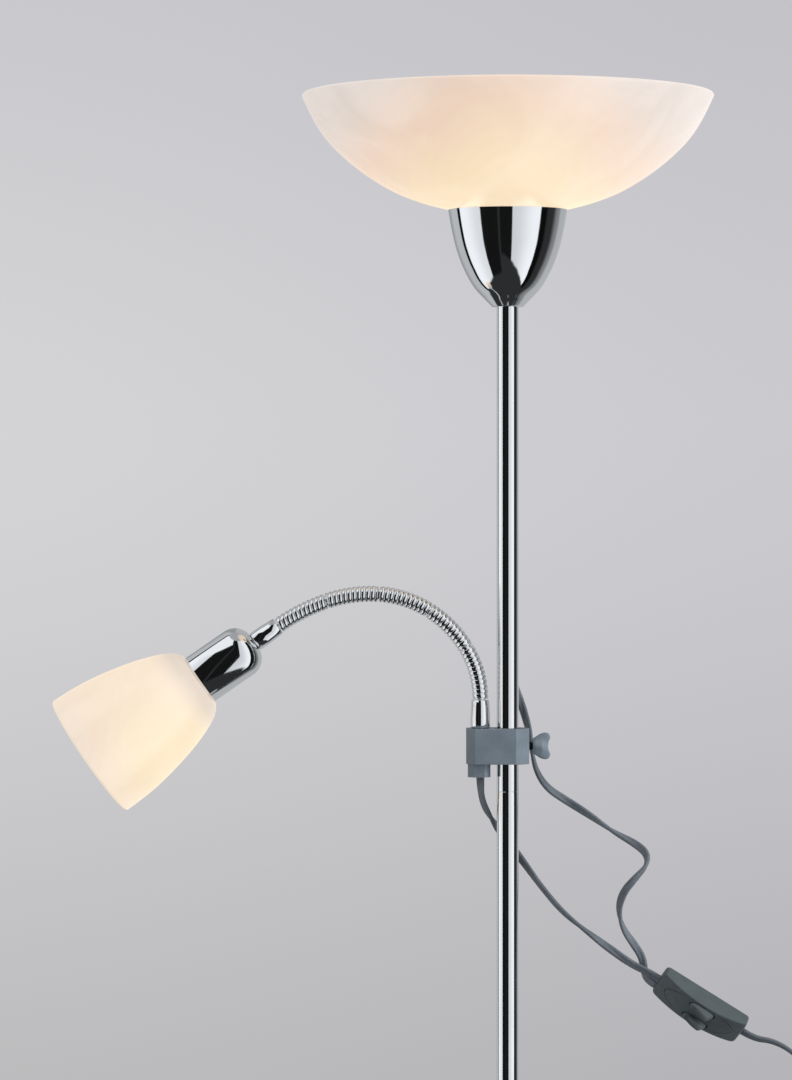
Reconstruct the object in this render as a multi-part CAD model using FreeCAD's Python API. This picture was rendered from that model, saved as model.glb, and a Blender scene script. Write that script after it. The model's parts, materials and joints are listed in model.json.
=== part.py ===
import FreeCAD, Part
import math
import os

os.makedirs("parts", exist_ok=True)

# Torchiere floor lamp with a reading light on a clamped gooseneck arm.
# Millimetres. Z is up, the origin is on the floor under the pole's axis,
# the reading arm points along -X and the front of the lamp faces -Y.

V = FreeCAD.Vector
UP = V(0, 0, 1)

# Fits and clearances
RUN_FIT = 0.05          # radial play of a turning or sliding fit
SEAT_FIT = 0.1          # play round a piece that is only pushed or screwed in
PASS_GAP = 0.3          # gap between faces that move past each other
FLOOR_GAP = 0.05        # under what lies on the floor

# Base
BASE_R = 125.0
BASE_H = 22.0           # top of the cover, where the pole stands
BASE_EDGE_H = 5.0       # straight edge of the cover
COVER_WALL = 0.8
PAD_T = 2.0
PAD_INSET = 5.0         # of the pad's edge from the cover's
PAD_R = BASE_R - PAD_INSET
WEIGHT_T = 9.0          # weight at its edge
WEIGHT_CONE = 8.0       # rise of the weight towards the pole
BOLT_HEAD_AF = 17.0
BOLT_HEAD_T = 6.4
BOLT_REACH = 24.0       # thread above the cover

# Pole
POLE_R = 8.0
POLE_WALL = 1.0
SECTION_L = 423.0       # each of the three lower sections
LOWER_SECTIONS = 3
TOP_SECTION_L = 353.5
INSERT_L = 30.0
THREAD_R = 5.0          # M10 thread of inserts, bolt and nipple
EXIT_BELOW_TOP = 264.5  # hole for the lead in the rear of the top section
LEAD_STRAIGHT = 60.0    # the inner lead hangs on the axis down to here, below the pole's top
LEAD_ASIDE = 150.0      # and lies against the wall from here
GROMMET_R = 3.9
GROMMET_FLANGE_R = 5.6
GROMMET_FLANGE_T = 1.6

# Uplight
CUP_H = 71.5
CUP_FOOT_R = 11.4
CUP_RIM_R = 43.4
CUP_WALL = 0.9
NIPPLE_BORE_R = 3.2
NIPPLE_FOOT = 24.0      # length below the cup
NIPPLE_HEAD = 36.0      # length above the cup's foot
LOCKNUT_AF = 15.0
LOCKNUT_T = 4.0
BOWL_H = 84.0
BOWL_RIM_R = 150.3
BOWL_SEAT_R = 44.5
BOWL_HOLE_R = 20.5
BOWL_WALL = 4.0
HOLDER_R = 19.8
HOLDER_BORE_R = 13.5
HOLDER_BELOW_SEAT = 44.0
HOLDER_ABOVE_SEAT = 11.0
HOLDER_FLANGE_R = 25.0
HOLDER_FLANGE_T = 4.0
HOLDER_FLOOR = 14.0
RING_T = 4.0
RING_RIM = 6.0          # how far a shade ring reaches over the glass
BULB_CAP_R = 13.2
BULB_CAP_L = 25.0
BULB_R = 22.5
BULB_L = 53.0
BULB_WALL = 0.9
BULB_MEET = 75.0        # degrees from the globe's foot at which the neck's curve joins it

# Clamp
CLAMP_Z = 1311.0
CLAMP_H = 25.9
CLAMP_LEFT = -30.3
CLAMP_RIGHT = 15.6
CLAMP_HALF_DEPTH = 12.0
CLAMP_CORNER = 0.9
CLAMP_EDGE = 0.5
BUSH_WALL = 1.5
BUSH_RECESS = 0.5
ARM_X = -20.0           # axis of the gooseneck's foot
STEM_R = 4.0            # hollow M8 stem under each ferrule
STEM_BORE_R = 2.6
GLAND_H = 9.7
GLAND_HALF_W = 8.2
GLAND_HALF_D = 7.2
GLAND_X = -20.9
GLAND_BEVEL = 4.2
GLAND_WALL = 1.4
GLAND_CAVITY_R = 6.3
ARM_NUT_R = 5.9
ARM_NUT_T = 3.2
STUD_R = 3.0
STUD_SHOW = 2.2         # bare shank between the block and the wing
WING_L = 13.6
WING_HALF_H = 9.8
WING_T = 3.6
WING_HUB_R = 4.6
WING_HUB_L = 8.0

# Gooseneck
FERRULE_L = 20.5
FERRULE_R = 7.1
FERRULE_TIP_R = 6.4
HOSE_R = 5.9
HOSE_WIRE_R = 1.25
HOSE_PITCH = 3.4
LINING_R = 3.3
LINING_BORE_R = 1.95
LEAD_CORE_R = 1.7
LINK_L = 39.0
LINK_TURNS = [31.0, 27.0, 28.5, 22.7, 15.4]   # degrees turned along each link at rest
WIRE_GAP = 1.3          # between the windings of two links
LINING_GAP = 0.8        # between the linings of two links

# Reading head
HEAD_FERRULE_L = 20.8
HEAD_FERRULE_R = 7.15
HEAD_FERRULE_TIP_R = 6.4
HEAD_CUP_R = 19.0
HEAD_CUP_L = 49.1
HEAD_CUP_SHOULDER = 14.0
HEAD_HOLDER_R = 12.5
HEAD_HOLDER_BORE_R = 7.2
HEAD_HOLDER_START = 10.0
HEAD_HOLDER_ABOVE = 9.0
HEAD_FLANGE_R = 17.6
HEAD_FLANGE_T = 3.0
HEAD_HOLDER_FLOOR = 18.0
HEAD_STEM_L = 16.0
HEAD_NUT_AF = 11.0
HEAD_NUT_T = 3.5
SHADE_L = 97.4
SHADE_RIM_R = 48.2
SHADE_SEAT_R = 21.5
SHADE_HOLE_R = 12.9
SHADE_WALL = 3.4
HEAD_RING_T = 3.5
HEAD_RING_RIM = 5.0
HEAD_BULB_CAP_R = 6.9
HEAD_BULB_CAP_L = 24.0
HEAD_BULB_R = 19.0
HEAD_BULB_L = 46.0

# Cord and its fittings
CORD_D = 4.6
CORD_SETBACK = 0.45     # share of a run that the arc at its end takes
MAIN_COIL_R = 32.0      # middle of the turns
COIL_TURNS = 3
COIL_CLIMB = 0.5        # turns over which the coil rises to its upper layer
COIL_GAP = 0.5          # between neighbouring turns
TIE_T = 0.8
TIE_W = 7.0
TIE_SLACK = 0.3         # at the sides of the bundle
TIE_CORNER = 1.4
COIL_X = 172.0
COIL_Y = 45.0
PLUG_L = 36.0
PLUG_W = 34.0
PLUG_WAIST_W = 15.0
PLUG_WAIST_T = 9.6
PLUG_BEVEL = 5.0
PLUG_NECK_L = 16.0
PLUG_NECK_R = 4.4
PLUG_LEAD_L = 15.4      # cord between the coil and the plug's neck
PIN_R = 2.0
PIN_L = 19.0
PIN_SPACING = 18.6
PIN_SEAT = 8.0          # length held in the plug
PIN_TIP = 1.2           # rounding of the tip

# Switch in the cord: x runs along it, y across its face, z out of its face
SWITCH_L = 71.2
SWITCH_W = 22.0
SWITCH_BACK_H = 6.0
SWITCH_END_H = 4.0      # face above the parting line at the ends
SWITCH_CROWN_H = 12.0   # and in the middle
SWITCH_WALL = 1.6
SWITCH_CORNER = 3.0
SWITCH_EDGE = 1.5
SWITCH_X = 141.8        # middle of its parting plane
SWITCH_Y = 14.0
SWITCH_Z = 1132.8
SWITCH_AT = V(SWITCH_X, SWITCH_Y, SWITCH_Z)
SWITCH_SLOPE = 32.0     # degrees below the horizontal
SWITCH_ROLL = 35.0      # face turned from the front towards the floor
UPLIGHT_ENTRY = -6.5    # where each cord enters across the switch's end
READING_ENTRY = 0.5
ROCKER_W = 5.6
ROCKER_Y = 5.6
ROCKER_PIVOT = V(1.5, 0, 8.6)
ROCKER_GAP = 0.35
ROCKER_PIN_R = 1.0
ROCKER_SLOT = (-9.0, 12.0)    # ends of each rocker's slot
ROCKER_SLOT_DEPTH = 3.0       # below the pivot
CHEEK_L = 6.0
CHEEK_T = 1.8
CHEEK_DROP = 2.0              # of the cheeks below the pivot
TERMINAL = V(7.0, 4.6, 4.0)
TERMINAL_AT = [(-13, -5), (-13, 5), (13, 0)]
SCREW_X = 25.0
SCREW_R = 1.3
SCREW_HEAD_R = 2.4
SCREW_HEAD_T = 1.4
BOSS_R = 2.9

# Levels that follow
POLE_SEAM_Z = BASE_H + LOWER_SECTIONS * SECTION_L
POLE_TOP_Z = POLE_SEAM_Z + TOP_SECTION_L
EXIT_Z = POLE_TOP_Z - EXIT_BELOW_TOP
BOWL_Z = POLE_TOP_Z + CUP_H
POLE_BORE_R = POLE_R - POLE_WALL
INSERT_R = POLE_BORE_R - RUN_FIT
CORD_R = CORD_D / 2
CLAMP_TOP = CLAMP_Z + CLAMP_H
BUSH_BORE_R = POLE_R + RUN_FIT
BUSH_R = BUSH_BORE_R + BUSH_WALL
GLAND_Z = CLAMP_Z - GLAND_H
FERRULE_Z = CLAMP_TOP + PASS_GAP
WING_Z = CLAMP_Z + CLAMP_H / 2
WING_X = CLAMP_RIGHT + STUD_SHOW


# ---------------------------------------------------------------- helpers

def point(r, z):
    return V(r, 0, z)


def curve(points):
    """A smooth curve through points of the XZ plane."""
    result = Part.BSplineCurve()
    result.interpolate([point(r, z) for r, z in points])
    return result


def beside(points, distance):
    """The points set off to the left of the curve that runs through them."""
    line = curve(points)
    result = []
    for r, z in points:
        along = line.tangent(line.parameter(point(r, z)))[0]
        result.append((r - along.z * distance, z + along.x * distance))
    return result


def outline(steps):
    """A closed outline in the XZ plane. A step is a point for a straight line, a pair of
    points for an arc through the first to the second, or a list for a smooth curve."""
    edges = []
    start = here = steps[0]
    for step in list(steps[1:]) + [start]:
        if isinstance(step, list):
            if math.dist(here, step[0]) > 1e-6:
                edges.append(Part.LineSegment(point(*here), point(*step[0])).toShape())
            edges.append(curve(step).toShape())
            here = step[-1]
        elif isinstance(step[0], tuple):
            edges.append(Part.Arc(point(*here), point(*step[0]), point(*step[1])).toShape())
            here = step[1]
        elif math.dist(here, step) > 1e-6:
            edges.append(Part.LineSegment(point(*here), point(*step)).toShape())
            here = step
    return Part.Wire(edges)


def turned(*steps):
    """A solid turned round the Z axis from its outline."""
    return Part.Face(outline(steps)).revolve(V(0, 0, 0), UP, 360)


def rod(radius, start, stop, axis=UP, at=V(0, 0, 0)):
    return Part.makeCylinder(radius, stop - start, at + axis * start, axis)


def tube(outer, inner, start, stop, axis=UP, at=V(0, 0, 0)):
    return rod(outer, start, stop, axis, at).cut(rod(inner, start - 1, stop + 1, axis, at))


def prism(corners, height, at=V(0, 0, 0)):
    """A prism that stands on a polygon of the XY plane."""
    points = [V(x, y, 0) + at for x, y in corners]
    return Part.Face(Part.makePolygon(points + points[:1])).extrude(UP * height)


def hexagon(across_flats, height, z):
    reach = across_flats / math.sqrt(3)
    corners = [(reach * math.cos(math.radians(60 * n)), reach * math.sin(math.radians(60 * n)))
               for n in range(6)]
    return prism(corners, height, V(0, 0, z))


def placed(shape, placement):
    result = shape.copy()
    result.Placement = placement.multiply(result.Placement)
    return result


def upright_edges(shape):
    return [edge for edge in shape.Edges
            if len(edge.Vertexes) == 2
            and abs(edge.Vertexes[0].X - edge.Vertexes[1].X) < 1e-6
            and abs(edge.Vertexes[0].Y - edge.Vertexes[1].Y) < 1e-6]


def arc_from(start, along, stop):
    """The arc that leaves a point in a direction and ends at another point."""
    chord = stop - start
    half = along.getAngle(chord)
    if half < 1e-6:
        return Part.LineSegment(start, stop).toShape()
    across = along - chord * (along.dot(chord) / chord.dot(chord))
    across.normalize()
    middle = start + chord * 0.5 + across * (chord.Length / 2 * math.tan(half / 2))
    return Part.Arc(start, middle, stop).toShape()


def biarc(start, along, stop, onward):
    """Two arcs that meet smoothly, from one point and direction to the next."""
    chord = stop - start
    both = along + onward
    fall = 2 * (1 - along.dot(onward))
    lean = chord.dot(both)
    reach = (-lean + math.sqrt(lean * lean + fall * chord.dot(chord))) / fall
    meet = (start + stop + (along - onward) * reach) * 0.5
    back = arc_from(stop, onward * -1, meet)
    return [arc_from(start, along, meet), back]


def wound_edges(place, start, stop, steps):
    """Arcs along a winding: place gives a point for a turn count, steps is per turn."""
    count = max(2, round((stop - start) * steps))
    small = 1e-4
    turns = [start + (stop - start) * n / count for n in range(count + 1)]
    points = [place(turn) for turn in turns]
    ways = [(place(turn + small) - place(turn - small)).normalize() for turn in turns]
    edges = []
    for n in range(count):
        edges += biarc(points[n], ways[n], points[n + 1], ways[n + 1])
    return edges, points[0], ways[0], points[-1], ways[-1]


def least_gap(place, start, stop, thickness):
    """The least gap of a winding to itself, between points over half a turn apart."""
    samples = 36
    count = int((stop - start) * samples)
    points = [place(start + n / samples) for n in range(count + 1)]
    gaps = [(points[a] - points[b]).Length
            for a in range(count + 1) for b in range(a + samples // 2, count + 1)]
    return min(gaps) - thickness


def swept(edges, radius, name):
    """A round tube along edges that join smoothly."""
    wire = Part.Wire(edges)
    first = edges[0]
    here = first.valueAt(first.FirstParameter)
    along = first.tangentAt(first.FirstParameter)
    ring = Part.Wire(Part.makeCircle(radius, here, along))
    body = wire.makePipeShell([ring], True, False)
    body = Part.Solid(body) if body.ShapeType == "Shell" else body
    expected = math.pi * radius ** 2 * wire.Length
    print(f"{name}: length {wire.Length:.0f} mm, volume over section times length "
          f"{body.Volume / expected:.4f}, valid {body.isValid()}")
    return body


def route_edges(points, name, setbacks=None):
    """Straight runs joined by arcs, each as large as its two runs allow."""
    edges = []
    here = points[0]
    radii = []
    for n in range(1, len(points) - 1):
        run_in = points[n] - points[n - 1]
        run_out = points[n + 1] - points[n]
        half = run_in.getAngle(run_out) / 2
        share = setbacks[n - 1] if setbacks else CORD_SETBACK
        back = share * min(run_in.Length, run_out.Length)
        radius = back / math.tan(half)
        radii.append(radius)
        start = points[n] - run_in.normalize() * back
        stop = points[n] + run_out.normalize() * back
        inward = (run_out - run_in).normalize()
        middle = points[n] + inward * (radius / math.cos(half) - radius)
        edges.append(Part.LineSegment(here, start).toShape())
        edges.append(Part.Arc(start, middle, stop).toShape())
        here = stop
    edges.append(Part.LineSegment(here, points[-1]).toShape())
    print(f"{name}: radii {' '.join(f'{radius:.0f}' for radius in radii)}")
    return edges


def cord(points, name, radius=CORD_R, setbacks=None):
    return swept(route_edges(points, name, setbacks), radius, name)


# ---------------------------------------------------------------- base

def base_pad():
    return rod(PAD_R, 0, PAD_T)


def base_weight():
    hub = THREAD_R + SEAT_FIT
    edge = BASE_R - COVER_WALL - 2.5
    top = PAD_T + WEIGHT_T
    solid = turned((0, PAD_T), (edge, PAD_T), (edge, PAD_T + BASE_EDGE_H - 1), (edge - 6, top - 1.5),
                   (3 * POLE_R, top + WEIGHT_CONE), (0, top + WEIGHT_CONE))
    pocket = rod(BOLT_HEAD_AF * 0.62, PAD_T, PAD_T + BOLT_HEAD_T + 1)
    return solid.cut(pocket).cut(rod(hub, PAD_T, BASE_H + 5))


def base_cover():
    """A spun dish: a straight edge, a tight shoulder and a slow rise to the pole."""
    skin = [(BASE_R, PAD_T + BASE_EDGE_H), (BASE_R - 3, PAD_T + BASE_EDGE_H + 4.6),
            (BASE_R - 14, PAD_T + BASE_EDGE_H + 8), (BASE_R * 0.5, BASE_H - 2.6), (2 * POLE_R, BASE_H)]
    inside = beside(skin, COVER_WALL)
    hole = THREAD_R + SEAT_FIT
    return turned((BASE_R, PAD_T), skin, (hole, BASE_H), (hole, BASE_H - COVER_WALL),
                  inside[::-1], (BASE_R - COVER_WALL, PAD_T))


def base_bolt():
    head = hexagon(BOLT_HEAD_AF, BOLT_HEAD_T, PAD_T + 1)
    return head.fuse(rod(THREAD_R - RUN_FIT, PAD_T + 1, BASE_H + BOLT_REACH))


# ---------------------------------------------------------------- pole

def pole_section(start, length):
    return tube(POLE_R, POLE_BORE_R, start, start + length)


def pole_top_section():
    """The top section, with the hole for the lead in its rear."""
    section = pole_section(POLE_SEAM_Z, TOP_SECTION_L)
    return section.cut(rod(GROMMET_R + RUN_FIT, 0, 2 * POLE_R, V(0, 1, 0), V(0, 0, EXIT_Z)))


def pole_inserts():
    """Threaded sleeves: one in each end of the pole and one across each seam."""
    starts = [BASE_H, POLE_TOP_Z - INSERT_L]
    starts += [BASE_H + n * SECTION_L - INSERT_L / 2 for n in range(1, LOWER_SECTIONS + 1)]
    return Part.makeCompound([tube(INSERT_R, THREAD_R, z, z + INSERT_L) for z in sorted(starts)])


def cord_grommet():
    """A bush through the pole's wall with a flange that hugs its rear."""
    back = V(0, 1, 0)
    at = V(0, 0, EXIT_Z)
    flange = rod(GROMMET_FLANGE_R, 0, POLE_R + GROMMET_FLANGE_T, back, at)
    flange = flange.cut(rod(POLE_R + RUN_FIT, EXIT_Z - 20, EXIT_Z + 20))
    shank = rod(GROMMET_R, POLE_BORE_R - 1, POLE_R + GROMMET_FLANGE_T, back, at)
    return flange.fuse(shank).cut(rod(CORD_R + RUN_FIT, 0, 3 * POLE_R, back, at))


def pole_cord():
    """The lead inside the pole, from the uplight down to the hole in the rear."""
    offset = -(POLE_BORE_R - CORD_R - 0.6)
    top = POLE_TOP_Z + NIPPLE_HEAD
    points = [V(0, 0, top), V(0, 0, POLE_TOP_Z - LEAD_STRAIGHT), V(0, offset, POLE_TOP_Z - LEAD_ASIDE),
              V(0, offset, EXIT_Z), V(0, POLE_R + GROMMET_FLANGE_T, EXIT_Z)]
    return cord(points, "pole_cord", radius=CORD_R - 0.3, setbacks=[0.45, 0.45, 0.9])


# ---------------------------------------------------------------- uplight

def top_nipple():
    return tube(THREAD_R - RUN_FIT, NIPPLE_BORE_R, POLE_TOP_Z - NIPPLE_FOOT, POLE_TOP_Z + NIPPLE_HEAD)


def uplight_cup():
    """A spun cup: a flat foot, flared sides that steepen to the rim."""
    skin = [(CUP_FOOT_R, 0.4), (CUP_FOOT_R + 4.8, 5.1), (23.6, 13.1), (31.4, 26.3),
            (36.9, 40.2), (40.4, 54.0), (CUP_RIM_R, CUP_H)]
    inside = beside(skin, CUP_WALL)
    inside[0] = (CUP_FOOT_R - 0.4, CUP_WALL)
    inside[-1] = (CUP_RIM_R - CUP_WALL, CUP_H)
    hole = THREAD_R + RUN_FIT
    cup = turned((hole, 0), (CUP_FOOT_R - 0.5, 0), skin, inside[::-1], (hole, CUP_WALL))
    return placed(cup, FreeCAD.Placement(V(0, 0, POLE_TOP_Z), FreeCAD.Rotation()))


def cup_locknut():
    base = POLE_TOP_Z + CUP_WALL
    return hexagon(LOCKNUT_AF, LOCKNUT_T, base).cut(rod(THREAD_R, base - 1, base + LOCKNUT_T + 1))


def uplight_lampholder():
    start = BOWL_Z - HOLDER_BELOW_SEAT
    stop = BOWL_Z + HOLDER_ABOVE_SEAT
    body = rod(HOLDER_R, start, stop)
    body = body.fuse(rod(HOLDER_FLANGE_R, BOWL_Z - HOLDER_FLANGE_T, BOWL_Z))
    body = body.cut(rod(HOLDER_BORE_R, start + HOLDER_FLOOR, stop + 1))
    return body.cut(rod(THREAD_R, start - 1, start + HOLDER_FLOOR + 1))


def uplight_shade_ring():
    start = BOWL_Z + BOWL_WALL + RUN_FIT
    return tube(HOLDER_R + RING_RIM, HOLDER_R + RUN_FIT, start, start + RING_T)


def glass_bowl():
    """Opal glass: a flat seat round the hole, curved sides, a rounded rim."""
    cap = 1.6
    side = [(BOWL_SEAT_R, 0), (63.0, 4.9), (80.2, 11.4), (101.0, 23.3), (117.0, 35.4),
            (133.6, 52.2), (BOWL_RIM_R, BOWL_H - cap)]
    inside = beside(side, BOWL_WALL)
    inside[0] = (BOWL_SEAT_R - 1, BOWL_WALL)
    inside[-1] = (BOWL_RIM_R - BOWL_WALL, BOWL_H - cap)
    crest = (BOWL_RIM_R - BOWL_WALL / 2, BOWL_H)
    bowl = turned((BOWL_HOLE_R, 0), side, (crest, inside[-1]), inside[::-1], (BOWL_HOLE_R, BOWL_WALL))
    return placed(bowl, FreeCAD.Placement(V(0, 0, BOWL_Z), FreeCAD.Rotation()))


def bulb_cap(radius, length, start):
    """A screw cap with its contact button."""
    tip = 2.5
    return turned((0, start), (radius * 0.35, start), (radius * 0.4, start + tip), (radius, start + tip + 2),
                  (radius, start + length), (0, start + length))


def bulb_glass(radius, length, neck, start):
    """A round bulb: a neck that swells into a globe, with a thin wall."""
    centre = start + length - radius
    meet = math.radians(BULB_MEET)
    side = [(neck, start), (neck + 0.12 * (radius - neck), start + 0.25 * (centre - start)),
            (radius * math.sin(meet), centre - radius * math.cos(meet)), (radius, centre)]
    inside = beside(side, BULB_WALL)
    inside[0] = (neck - BULB_WALL, start)
    inside[-1] = (radius - BULB_WALL, centre)
    high = math.sqrt(0.5)
    crown = ((radius * high, centre + radius * high), (0, centre + radius))
    small = radius - BULB_WALL
    hollow = ((small * high, centre + small * high), inside[-1])
    return turned((neck, start), side, crown, (0, centre + small), hollow, inside[::-1])


def uplight_bulb():
    start = BOWL_Z + HOLDER_ABOVE_SEAT - BULB_CAP_L
    cap = bulb_cap(BULB_CAP_R, BULB_CAP_L, start)
    glass = bulb_glass(BULB_R, BULB_L, BULB_CAP_R - 0.6, start + BULB_CAP_L)
    return cap, glass


# ---------------------------------------------------------------- clamp

def clamp_bush():
    return tube(BUSH_R, BUSH_BORE_R, CLAMP_Z + BUSH_RECESS, CLAMP_TOP - BUSH_RECESS)


def clamp_block():
    """A faceted block: one facet at the arm's end, two on each side of the screw."""
    half = [(CLAMP_LEFT, 6.4), (CLAMP_LEFT + 5.9, CLAMP_HALF_DEPTH), (CLAMP_RIGHT - 9.8, CLAMP_HALF_DEPTH),
            (CLAMP_RIGHT - 4.4, 9.6), (CLAMP_RIGHT, 4.8)]
    corners = half + [(x, -y) for x, y in half[::-1]]
    block = prism(corners, CLAMP_H, V(0, 0, CLAMP_Z))
    block = block.makeFillet(CLAMP_CORNER, upright_edges(block))
    rims = [edge for edge in block.Edges if edge.BoundBox.ZLength < 1e-6]
    block = block.makeFillet(CLAMP_EDGE, rims)
    block = block.cut(rod(BUSH_R + RUN_FIT, CLAMP_Z - 1, CLAMP_TOP + 1))
    block = block.cut(rod(STEM_R + RUN_FIT, CLAMP_Z - 1, CLAMP_TOP + 1, at=V(ARM_X, 0, 0)))
    return block.cut(rod(STUD_R + RUN_FIT, 0, 2 * CLAMP_RIGHT, V(1, 0, 0), V(0, 0, WING_Z)))


def clamp_gland():
    """The faceted cap under the arm's foot, which covers its nut and guides the cord."""
    half = [(-GLAND_HALF_W, GLAND_HALF_D - GLAND_BEVEL), (-GLAND_HALF_W + GLAND_BEVEL, GLAND_HALF_D),
            (GLAND_HALF_W - GLAND_BEVEL, GLAND_HALF_D), (GLAND_HALF_W, GLAND_HALF_D - GLAND_BEVEL)]
    corners = half + [(x, -y) for x, y in half[::-1]]
    cap = prism(corners, GLAND_H, V(GLAND_X, 0, GLAND_Z))
    cap = cap.makeFillet(CLAMP_EDGE, upright_edges(cap))
    arm = V(ARM_X, 0, 0)
    cap = cap.cut(rod(GLAND_CAVITY_R, GLAND_Z + GLAND_WALL, CLAMP_Z + 1, at=arm))
    return cap.cut(rod(CORD_R + RUN_FIT, GLAND_Z - 1, CLAMP_Z, at=arm))


def clamp_stud():
    tip = BUSH_R + PASS_GAP
    return rod(STUD_R, tip, WING_X + WING_HUB_L, V(1, 0, 0), V(0, 0, WING_Z))


def wing_knob():
    """A butterfly knob: a round hub and a flat wing with two lobes."""
    upper = [(0.5, WING_HUB_R), (4.6, 7.3), (8.6, WING_HALF_H - 0.5), (11.4, WING_HALF_H),
             (WING_L - 0.2, 7.4), (12.2, 3.6), (11.5, 0)]
    lower = [(x, -z) for x, z in upper[::-1]]
    lobes = Part.Face(outline([upper[0], upper, lower, upper[0]])).extrude(V(0, WING_T, 0))
    lobes.translate(V(0, -WING_T / 2, 0))
    hub = rod(WING_HUB_R, 0, WING_HUB_L + 1.5, V(1, 0, 0))
    bore = rod(STUD_R + RUN_FIT, -1, WING_HUB_L + RUN_FIT, V(1, 0, 0))
    knob = lobes.fuse(hub).cut(bore)
    return placed(knob, FreeCAD.Placement(V(WING_X, 0, WING_Z), FreeCAD.Rotation()))


# ---------------------------------------------------------------- gooseneck

def along_at(lean):
    """The hose's direction, for its lean in radians from straight up towards the arm's side."""
    return V(-math.sin(lean), 0, math.cos(lean))


def inward_at(lean):
    return V(-math.cos(lean), 0, -math.sin(lean))


def link_frames():
    """The point and lean at each bend joint, from the foot to the head."""
    here = V(ARM_X, 0, FERRULE_Z + FERRULE_L + WIRE_GAP / 2)
    lean = 0.0
    frames = [(here, lean)]
    for turn in LINK_TURNS:
        angle = math.radians(turn)
        bend = LINK_L / angle
        centre = here + inward_at(lean) * bend
        lean += angle
        here = centre - inward_at(lean) * bend
        frames.append((here, lean))
    return frames


def on_link(n, distance):
    """The point and lean at a distance along link n."""
    here, lean = link_frames()[n]
    bend = LINK_L / math.radians(LINK_TURNS[n])
    centre = here + inward_at(lean) * bend
    there = lean + distance / bend
    return centre - inward_at(there) * bend, there


def bent_rod(n, radius, inset):
    """A round rod along link n, short of each of its joints."""
    start, lean = on_link(n, inset)
    bend = LINK_L / math.radians(LINK_TURNS[n])
    centre = start + inward_at(lean) * bend
    disc = Part.Face(Part.Wire(Part.makeCircle(radius, start, along_at(lean))))
    return disc.revolve(centre, V(0, -1, 0), math.degrees((LINK_L - 2 * inset) / bend))


def hose_core(n):
    """A link's lining tube, and the two-core lead that runs in it."""
    inset = LINING_GAP / 2
    lining = bent_rod(n, LINING_R, inset).cut(bent_rod(n, LINING_BORE_R, inset - 0.1))
    return Part.makeCompound([lining, bent_rod(n, LEAD_CORE_R, inset)])


def hose_coil(n):
    """A link's winding: one wire wound round the curved lining."""
    inset = WIRE_GAP / 2 + HOSE_WIRE_R
    turns = (LINK_L - 2 * inset) / HOSE_PITCH
    reach = HOSE_R - HOSE_WIRE_R

    def place(turn):
        here, lean = on_link(n, inset + turn * HOSE_PITCH)
        angle = 2 * math.pi * turn
        return here + inward_at(lean) * (reach * math.cos(angle)) + V(0, reach * math.sin(angle), 0)

    name = f"hose_coil_{n + 1}"
    gap = least_gap(place, 0, turns, 2 * HOSE_WIRE_R)
    print(f"{name}: {turns:.1f} turns, least gap {gap:.2f}")
    return swept(wound_edges(place, 0, turns, 4)[0], HOSE_WIRE_R, name)


def lower_ferrule():
    """The chromed foot of the hose, its hollow stem, and a spigot in the lining's line."""
    top = FERRULE_Z + FERRULE_L
    spigot = top + (WIRE_GAP - LINING_GAP) / 2
    stem = CLAMP_Z - PASS_GAP - ARM_NUT_T - 0.6
    body = turned((0, stem), (STEM_R, stem), (STEM_R, FERRULE_Z), (FERRULE_R, FERRULE_Z),
                  (FERRULE_R, FERRULE_Z + 8), (FERRULE_TIP_R + 0.1, top - 0.6), (FERRULE_TIP_R - 0.4, top),
                  (LINING_R, top), (LINING_R, spigot), (0, spigot))
    body = body.cut(rod(STEM_BORE_R, stem - 1, FERRULE_Z + 6)).cut(rod(LINING_BORE_R, stem, spigot + 1))
    return placed(body, FreeCAD.Placement(V(ARM_X, 0, 0), FreeCAD.Rotation()))


def arm_lock_nut():
    stop = CLAMP_Z - PASS_GAP
    return tube(ARM_NUT_R, STEM_R, stop - ARM_NUT_T, stop, at=V(ARM_X, 0, 0))


# ---------------------------------------------------------------- reading head

def head_placement():
    """From the head's own frame, whose z runs from the cup's apex to the shade's mouth."""
    here, lean = link_frames()[-1]
    along = along_at(lean)
    apex = here + along * (WIRE_GAP / 2 + HEAD_FERRULE_L)
    return FreeCAD.Placement(apex, FreeCAD.Rotation(UP, along))


def upper_ferrule():
    start = -HEAD_FERRULE_L
    spigot = start - (WIRE_GAP - LINING_GAP) / 2
    body = turned((0, spigot), (LINING_R, spigot), (LINING_R, start), (HEAD_FERRULE_TIP_R - 0.4, start),
                  (HEAD_FERRULE_TIP_R, start + 0.6), (HEAD_FERRULE_R, start + 9),
                  (HEAD_FERRULE_R, 0), (STEM_R, 0), (STEM_R, HEAD_STEM_L), (0, HEAD_STEM_L))
    return body.cut(rod(LINING_BORE_R, spigot - 1, HEAD_STEM_L + 1))


def reading_cup():
    """A drawn cup: a small flat crown, a round shoulder and a straight skirt."""
    round_r = HEAD_CUP_SHOULDER
    flat = HEAD_CUP_R - round_r
    share = math.sqrt(0.5)
    outer = ((flat + round_r * share, round_r - round_r * share), (HEAD_CUP_R, round_r))
    small = round_r - CUP_WALL
    inner = ((flat + small * share, round_r - small * share), (flat, CUP_WALL))
    hole = STEM_R + RUN_FIT
    return turned((hole, 0), (flat, 0), outer, (HEAD_CUP_R, HEAD_CUP_L), (HEAD_CUP_R - CUP_WALL, HEAD_CUP_L),
                  (HEAD_CUP_R - CUP_WALL, round_r), inner, (hole, CUP_WALL))


def head_locknut():
    base = CUP_WALL + SEAT_FIT
    return hexagon(HEAD_NUT_AF, HEAD_NUT_T, base).cut(rod(STEM_R, 0, base + HEAD_NUT_T + 1))


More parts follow.
